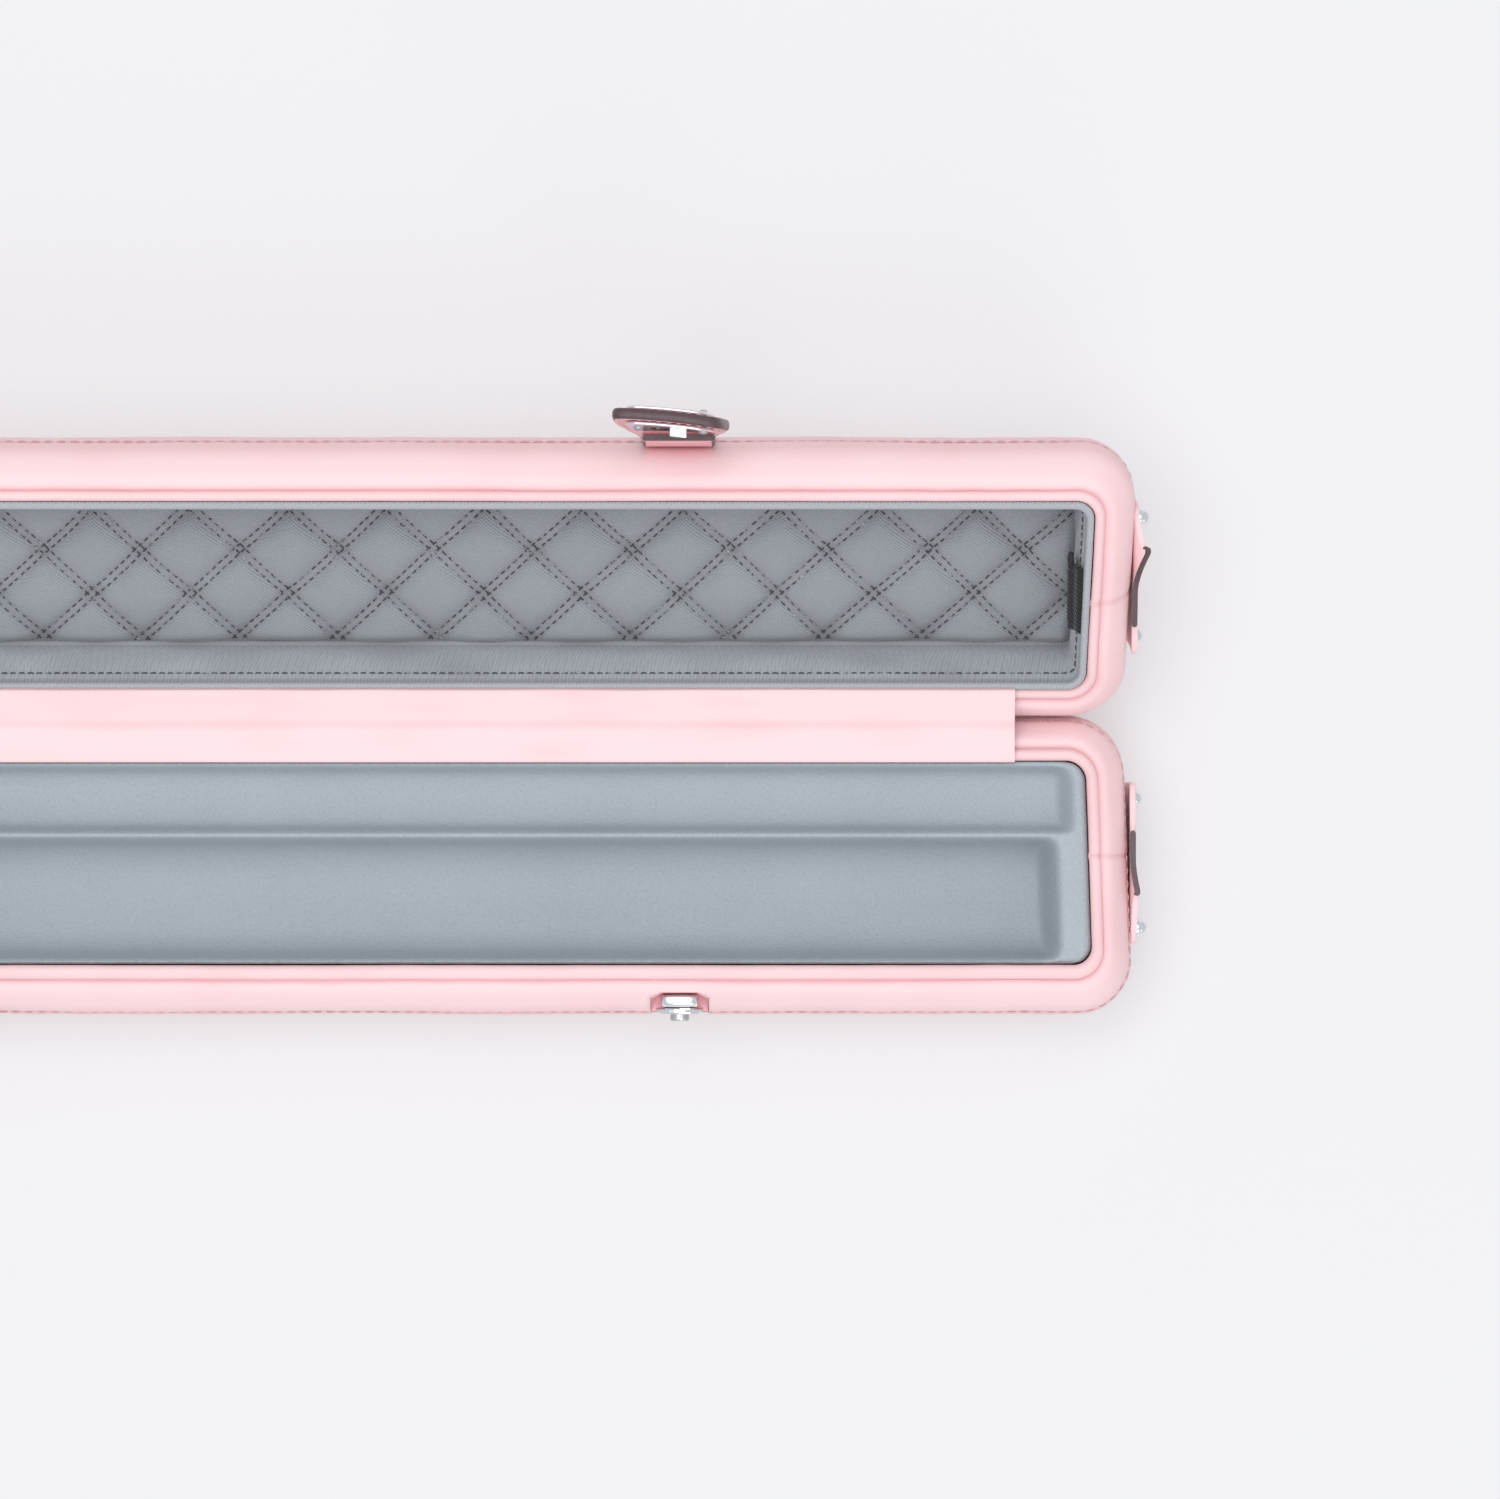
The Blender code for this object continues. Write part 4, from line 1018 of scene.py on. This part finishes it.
def end_fittings(half, top_width):
    drops = np.linspace(strap_top_drop, half.depth - strap_foot_rise, strap_stations)
    share = np.linspace(0, 1, strap_stations)
    widths = top_width + (strap_foot - top_width) * smooth((drops - 0.0082) / 0.0034)
    widths = widths - 0.010 * np.clip((share - 0.86) / 0.14, 0, 1) ** 2
    along_wall = np.array([0, half.side * half.cos, half.side * half.sin])

    def curl(place, across_strap):
        """The front corner of the top turns out; a base strap has been bent less."""
        reach = 0.0034 if half is lid else 0.0012
        return reach * np.clip(2 * across_strap + 0.1, 0, 1) ** 1.6 * np.clip(1 - place * 5, 0, 1)

    for side, sign in (("left", -1), ("right", 1)):
        off = np.array([end_place(half, max(drop, half.widest * 0.8)) for drop in drops])
        off = off + strap_gap + strap_thick / 2
        middles = half.points(sign * off, strap_middle, drops)
        sides = np.repeat(along_wall[None], strap_stations, axis=0)
        outs = np.repeat([[sign, 0, 0]], strap_stations, axis=0).astype(float)
        name = f"{half.body}_{side}_end_leather"
        made = add_ribbon(name, middles, sides, outs, widths, strap_thick, [hide, edge_paint], half.body,
                          columns=24, lift=curl, painted=1)
        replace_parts(made, f"{half.body}_{side}_end_strap")
        rows = edge_lines(middles[8:-2], sides[8:-2], outs[8:-2], widths[8:-2], strap_thick, 0.0020)
        add_stitches(name + "_thread", rows, 0.0030, 0.0002, pink_thread, half.body)
        for where, offset in (("rear", -stud_spacing / 2), ("front", stud_spacing / 2)):
            x = end_place(half, stud_drop) + strap_gap + strap_thick
            centre = half.points(sign * x, strap_middle + offset, stud_drop)
            stud = add_dome(f"{half.body}_{side}_{where}_cap", centre, (sign, 0, 0),
                            stud_radius, stud_height, chrome, half.body)
            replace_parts(stud, f"{half.body}_{side}_{where}_stud")


end_fittings(base, 0.0180)
end_fittings(lid, 0.0240)

# %% [markdown]
# ## Webbing tabs
# Inside each end of the lid a short tab of black webbing is sewn over the lining. Webbing is woven with
# raised ribs, so its outer face is lifted in waves that run across it.

# %% Tabs
tab_middle, tab_width, tab_thick, tab_stations, tab_ribs = 0.0368, 0.0200, 0.0013, 60, 4


def ribs(place, across_strap):
    """The raised ribs of a tab, and its finer weave."""
    return 0.00030 * np.sin(place * 2 * pi * tab_ribs) + 0.00004 * np.sin(across_strap * 90)


for side, sign in (("left", -1), ("right", 1)):
    share = np.linspace(0, 1, tab_stations)
    drops = 0.0012 + 0.0105 * share
    in_by = 0.0030 + 0.0024 * smooth(share * 3)
    middles = lid.points(sign * (lining_end - in_by), tab_middle, drops)
    sides = np.repeat([[0, lid.cos, lid.sin]], tab_stations, axis=0)
    outs = np.repeat([[-sign * 0.97, 0, 0.24]], tab_stations, axis=0)
    widths = np.full(tab_stations, tab_width)
    tab = add_ribbon(f"lid_{side}_webbing", middles, sides, outs, widths, tab_thick, [webbing], "lid",
                     columns=20, lift=ribs)
    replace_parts(tab, f"lid_{side}_tab")
    rows = edge_lines(middles[4:-6], sides[4:-6], outs[4:-6], widths[4:-6], 0.0016, 0.0022)
    add_stitches(f"lid_{side}_webbing_thread", rows, 0.0022, 0.0002, grey_thread, "lid")

# %% [markdown]
# ## Latch flaps
# Each latch is a thick leather flap with a window for the lock's button and a chrome plate on both faces.
# Window and outline are both given as a distance from the window's middle in every direction, so one
# function can stretch a closed skin between them: front face, painted edge, back face, and the window's
# own wall. A flap that has been bent open for years hangs a little twisted.

# %% Shapes seen from the window's middle
turns = np.linspace(0, 2 * pi, 144, endpoint=False)
window_z, flap_length, flap_thick = 0.0159, 0.0290, 0.0030


def reach_of(outline, rounds):
    """The distance from the window's middle to an outline, for each turn. The rounds soften its corners."""
    outline = np.array(outline, dtype=float)
    for _ in range(rounds):
        after = np.roll(outline, -1, axis=0)
        outline = np.stack([outline * 0.78 + after * 0.22, outline * 0.22 + after * 0.78],
                           axis=1).reshape(-1, 2)
    after = np.roll(outline, -1, axis=0)
    steps = np.linspace(0, 1, 12, endpoint=False)[None, :, None]
    fine = (outline[:, None] * (1 - steps) + after[:, None] * steps).reshape(-1, 2) - (0, window_z)
    angle = np.arctan2(fine[:, 1], fine[:, 0])
    order = np.argsort(angle)
    return np.interp(turns, angle[order], np.hypot(fine[:, 0], fine[:, 1])[order], period=2 * pi)


def rounded(width, height, centre_z, power):
    """A rounded rectangle's outline."""
    c, s = np.cos(turns), np.sin(turns)
    return np.stack([width / 2 * np.sign(c) * np.abs(c) ** power,
                     centre_z + height / 2 * np.sign(s) * np.abs(s) ** power],
                    axis=1)


half_flap = [(0.0098, 0.0009), (0.0098, 0.0034), (0.0152, 0.0062), (0.0152, 0.0262), (0.0125, 0.0290)]
flap_reach = reach_of(half_flap + [(-a, b) for a, b in half_flap[::-1]], 3)
window_reach = reach_of(rounded(0.0110, 0.0080, window_z, 0.6), 0)
plate_reach = reach_of(rounded(0.0230, 0.0170, 0.0175, 0.35), 0)


class Flap:
    """A latch flap's own coordinates: x across, y out of its face, z towards its free end."""

    def __init__(self, side, twist, sway):
        joint = joints[f"latch_{side}_hinge"]
        self.pivot, self.body = np.array(joint["pos_m"]), f"latch_{side}"
        self.twist, self.sway = twist, sway
        lean = tilt - radians(joint["range_deg"][1])
        self.cos, self.sin = cos(lean), sin(lean)

    def points(self, x, y, z):
        x, y, z = np.broadcast_arrays(x, y, z)
        y = y + 0.0039 * smooth(z / 0.0075) - 0.145 * z - x * self.twist * np.clip(z / flap_length, 0, 1)
        y = y + 0.0006 * (1 - (x / 0.0153) ** 2) * np.clip(z / 0.01, 0, 1)
        x = x - self.sway * z
        return self.pivot + np.stack([x, y * self.cos - z * self.sin, y * self.sin + z * self.cos], axis=-1)

    def skin(self, name, outer, y_back, y_front, finishes, corner):
        """A plate or flap between the window and an outer reach."""
        rows, which = [], []
        middle, half_thick = (y_back + y_front) / 2, (y_front - y_back) / 2
        for share in np.linspace(0, 1, 9):
            rows.append((window_reach + (outer - corner - window_reach) * share, y_front))
            which.append(0)
        for a in np.linspace(pi / 2, -pi / 2, 7)[1:-1]:
            rows.append((outer - corner + corner * cos(a), middle + half_thick * sin(a)))
        which[-1:] = [1] * 6
        for share in np.linspace(1, 0, 9):
            rows.append((window_reach + (outer - corner - window_reach) * share, y_back))
            which.append(0)
        which[-1] = 1
        reach = np.array([r for r, _ in rows])
        y = np.array([v for _, v in rows])[:, None]
        grid = self.points(reach * np.cos(turns), y, window_z + reach * np.sin(turns))
        faces = [(kind if len(finishes) > 1 else 0) for kind in which for _ in turns]
        return add_grid(name, grid, finishes, self.body, round_rows=True, face_finish=faces, sharp=50)


# %% Flaps, plates and rivets
for side, twist, sway in (("left", -0.040, -0.03), ("right", 0.105, 0.12)):
    flap = Flap(side, twist, sway)
    # The flap is in the darker copy of the hide: painted shade.
    leather = flap.skin(f"latch_{side}_leather", flap_reach, -flap_thick / 2, flap_thick / 2,
                        [painted_shade_hide, edge_paint], 0.0007)
    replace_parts(leather, f"latch_{side}_flap")
    front = flap_thick / 2 + 0.0002
    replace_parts(flap.skin(f"latch_{side}_front_chrome", plate_reach, front, front + 0.0010, [chrome],
                          0.0004),
                f"latch_{side}_outer_plate")
    catch = flap.skin(f"latch_{side}_catch_chrome", plate_reach, -front - 0.0010, -front, [chrome], 0.0004)
    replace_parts(catch, f"latch_{side}_catch_plate")
    line = flap_reach - 0.0019
    for face, sign in (("front", 1), ("back", -1)):
        path = flap.points(line * np.cos(turns), sign * (flap_thick / 2 - 0.0001),
                           window_z + line * np.sin(turns))
        way = flap.points(0, sign, 0) - flap.points(0, 0, 0)
        closed = np.concatenate([path, path[:1]])
        add_stitches(f"latch_{side}_{face}_thread", [(closed, np.repeat(way[None], len(closed), axis=0))],
                     0.0027, 0.00022,
                     pink_thread, flap.body)
        for x in (-0.0088, 0.0088):
            add_dome(f"latch_{side}_{face}_rivet_{'a' if x < 0 else 'b'}",
                     flap.points(x, sign * (front + 0.0010), 0.0175),
                     way, 0.0013, 0.0007, steel, flap.body)
    tongue_x, tongue_y = np.array([-0.0023, 0.0023]) + sway * 0.0218, np.array([-front - 0.0008,
            -front - 0.0034])
    corners = [(x, y, z) for z in (0.02115, 0.02245) for x,
               y in ((tongue_x[0], tongue_y[0]), (tongue_x[1], tongue_y[0]),
                                                                 (tongue_x[1], tongue_y[1]),
                     (tongue_x[0], tongue_y[1]))]
    tongue_grid = np.array([flap.points(*corner) for corner in corners]).reshape(2, 4, 3)
    tongue = add_grid(f"latch_{side}_tongue_chrome", tongue_grid, [chrome], flap.body, caps=True)
    soften = tongue.modifiers.new("soften", "BEVEL")
    soften.width, soften.segments, soften.use_clamp_overlap = 0.0003, 2, True
print("flap window", len(turns), "points round")

# %% [markdown]
# ## Latch straps
# The flap hangs from a strap sewn to the lid's front. Its neck is the latch's hinge, so like the hinge
# leather it can't ride on one body: it is shaped in the rest pose, running from the lid over the pivot
# into the flap, and rides on neither.

# %% Strap over the pivot
pivot_d, pivot_drop = half_width + 0.0036, 0.0050
lid_front = front_of(lid)
route = [(lid.lining_front + lid_front.at(drop)[0] + 0.0010, drop)
         for drop in np.linspace(0.0215, 0.0105, 9)]
route += [(0.0800, 0.0090), (0.0808, 0.0076), (0.0817, 0.0062), (pivot_d, pivot_drop)]
route += [(pivot_d + 0.0010, pivot_drop - 0.0010), (pivot_d + 0.0022, pivot_drop - 0.0026),
          (pivot_d + 0.0030, pivot_drop - 0.0048)]
route = np.array(route)
run = np.concatenate([[0], np.cumsum(np.hypot(*np.diff(route, axis=0).T))])
marks = np.linspace(0, run[-1], 34)
for _ in range(2):
    route[1:-1] = route[1:-1] * 0.5 + (route[:-2] + route[2:]) * 0.25
fine = np.stack([np.interp(marks, run, route[:, k]) for k in range(2)], axis=1)
heading = np.gradient(fine, axis=0)
heading /= np.linalg.norm(heading, axis=1, keepdims=True)
for side, sign in (("left", -1), ("right", 1)):
    centre_x = np.array(joints[f"latch_{side}_hinge"]["pos_m"])
    middles = lid.points(0, fine[:, 0], fine[:, 1])
    middles[:, 0] = centre_x[0]
    outs = lid.points(0, fine[:, 0] - heading[:, 1] * 0.001, fine[:, 1] + heading[:, 0] * 0.001)
    outs[:, 0] = centre_x[0]
    outs = (outs - middles) / 0.001
    sides = np.repeat([[1.0, 0, 0]], 34, axis=0)
    widths = np.full(34, 0.0197)
    # The neck is in the darker copy of the hide: painted shade.
    strap = add_ribbon(f"latch_{side}_neck", middles, sides, outs, widths, 0.0018, [painted_shade_hide, edge_paint],
                       None)
    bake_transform(strap)
    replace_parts(strap, f"latch_{side}_strap")
    rows = edge_lines(middles[2:22], sides[2:22], outs[2:22], widths[2:22], 0.0018, 0.0017)
    add_stitches(f"latch_{side}_neck_thread", rows, 0.0027, 0.00022, pink_thread, "lid")
print("straps:", len(fine), "stations")

# %% [markdown]
# ## Locks
# A lock sits in a notch in the base's padded front: a chrome body with a domed top, an oval face plate,
# and a button. The plate and the button keep their shape from the frame. The notch is cut through the
# leather with a Boolean, then lined with a folded piece of leather, because the cut alone would show the
# foam. That lining is a darker copy of the hide: painted shade in the notch.

# %% Lock notch
def carve(piece, cutter):
    """Cuts the cutter out of the piece for good, and removes it."""
    cutting = piece.modifiers.new("notch", "BOOLEAN")
    cutting.operation, cutting.object, cutting.solver = "DIFFERENCE", cutter, "EXACT"
    result = bpy.data.meshes.new_from_object(piece.evaluated_get(bpy.context.evaluated_depsgraph_get()))
    piece.modifiers.clear()
    piece.data = result
    bpy.data.objects.remove(cutter)


notch_floor = 0.0203
notch = [(-0.0080, 0.0042), (-0.0050, 0.0057), (0.0050, 0.0057), (0.0080, 0.0042)]
base_front = front_of(base)


def shoulder_drop(inward):
    """The drop of the shoulder's surface a distance in from the outline."""
    share = (base_front.width - inward - base_front.lip) / (base_front.width - base_front.lip)
    return base_front.groove + (base_front.widest - base_front.groove) * (1 - np.sqrt(1 - share ** 2))


for side, sign in (("left", -1), ("right", 1)):
    lock_x = sign * 0.285
    outline = [(-0.0080, -0.01)] + notch + [(0.0080, -0.01)]
    loops = [[(lock_x + x, -hinge.y + y, z) for x, y in outline]
             for z in (hinge.z - notch_floor, hinge.z + 0.01)]
    cutter = add_grid(f"notch_{side}", np.array(loops), [hide], None, caps=True)
    carve(walls["base"], cutter)
    path = [(-0.0079, 0.0003)] + [(x * 0.99, y) for x, y in notch] + [(0.0079, 0.0003)]
    path = np.array(path)
    inner = path * (0.955, 1) - (0, 0.00025)
    tops = np.array([shoulder_drop(y) for _, y in path])
    rows = []
    for points, drops in ((path, tops - 0.0002), (path, tops * 0 + notch_floor),
                          (inner, tops * 0 + notch_floor),
                          (inner, tops - 0.0002)):
        rows.append([(lock_x + x, -hinge.y + y, hinge.z - drop) for (x, y), drop in zip(points, drops)])
    # Cheeks and bed are in the darker copy of the hide: painted shade in the notch.
    add_piece(f"lock_{side}_cheeks", np.array(rows), grid_faces(4, len(path), True, False), [painted_shade_hide],
              "base", sharp=20)
    bed = [[(lock_x + x * 0.97, -hinge.y + y * 0.97, hinge.z - drop) for x, y in path]
           for drop in (0.0095, 0.0110)]
    add_grid(f"lock_{side}_bed", np.array(bed), [painted_shade_hide], "base", caps=True, sharp=30)
    top = hinge.z - 0.0045
    body_grid = []
    for share in np.linspace(0, 1, 12):
        a = share * (pi / 2 - 0.05)
        body_grid.append([(lock_x + 0.0050 * cos(a) ** 0.45 * np.sign(cos(t)) * abs(cos(t)) ** 0.5,
                           -hinge.y + 0.0033 + 0.0018 * cos(a) ** 0.6 * np.sign(sin(t)) * abs(sin(t)) ** 0.5,
                           top - 0.0004 + 0.0016 * sin(a))
                          for t in np.linspace(0, 2 * pi, 40, endpoint=False)])
    add_grid(f"lock_{side}_dome", np.array(body_grid), [chrome], "base", caps=True, sharp=60)
    chrome.on(f"lock_{side}_housing", f"lock_{side}_face")
    steel.on(f"lock_{side}_button")
print("base leather after the notches:", len(walls["base"].data.polygons), "faces")

# %% [markdown]
# ## The handle
# The carrying handle is a leather roll on two chrome arms, pinned to brackets on the base's front. Its
# metal keeps the frame's own shapes. The roll is a tube that thins towards its ends, sewn shut along the
# side that the palm doesn't touch, and pressed in by its seam.

# %% Grip
grip_low, grip_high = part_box("handle_grip")
grip_middle = (np.array(grip_low) + np.array(grip_high)) / 2
grip_half, grip_radius = (grip_high[0] - grip_low[0]) / 2, (grip_high[2] - grip_low[2]) / 2
along_grip, around = np.linspace(-1, 1, 61), np.linspace(0, 2 * pi, 56, endpoint=False)
seam_way = 3 * pi / 2
girth = grip_radius * (1 - 0.22 * along_grip ** 2) * (1 - 0.5
        * np.clip((np.abs(along_grip) - 0.97) / 0.03, 0, 1) ** 2)
angle, size = np.meshgrid(around, girth)
press = 0.0005 * np.exp(-((angle - seam_way) / 0.10) ** 2)
x = np.repeat(along_grip[:, None] * grip_half, 56, axis=1)
grid = np.stack([x, (size - press) * np.sin(angle) * 0.9, (size - press) * np.cos(angle)], axis=-1)
grid[..., 1:] *= (1 + 0.02 * ripple(grid, 0.012, 61))[..., None]
# Painted shade: darker in the pressed seam and at the roll's ends; the roll is in the darker copy of the hide, also
# painted shade.
tones = np.clip(0.9 * np.exp(-((angle - seam_way) / 0.08) ** 2) + 0.5
                * np.clip((np.abs(along_grip) - 0.95) / 0.05, 0, 1)[:, None], 0, 1)
grip = add_grid("handle_roll", grid + grip_middle, [painted_shade_hide], "handle", caps=True, tones=tones)
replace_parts(grip, "handle_grip")
rows = []
for off in (-0.17, 0.17):
    a = seam_way + off
    near = np.stack([along_grip * grip_half, girth * sin(a) * 0.9, girth * cos(a)],
                    axis=1)[2:-2] + grip_middle
    rows.append((near, np.repeat([[0, sin(a), cos(a)]], len(near), axis=0)))
add_stitches("handle_thread", rows, 0.0030, 0.00024, pink_thread, "handle")
for side in ("left", "right"):
    chrome.on(f"handle_{side}_arm", f"handle_{side}_bracket")
    steel.on(f"handle_{side}_pin")
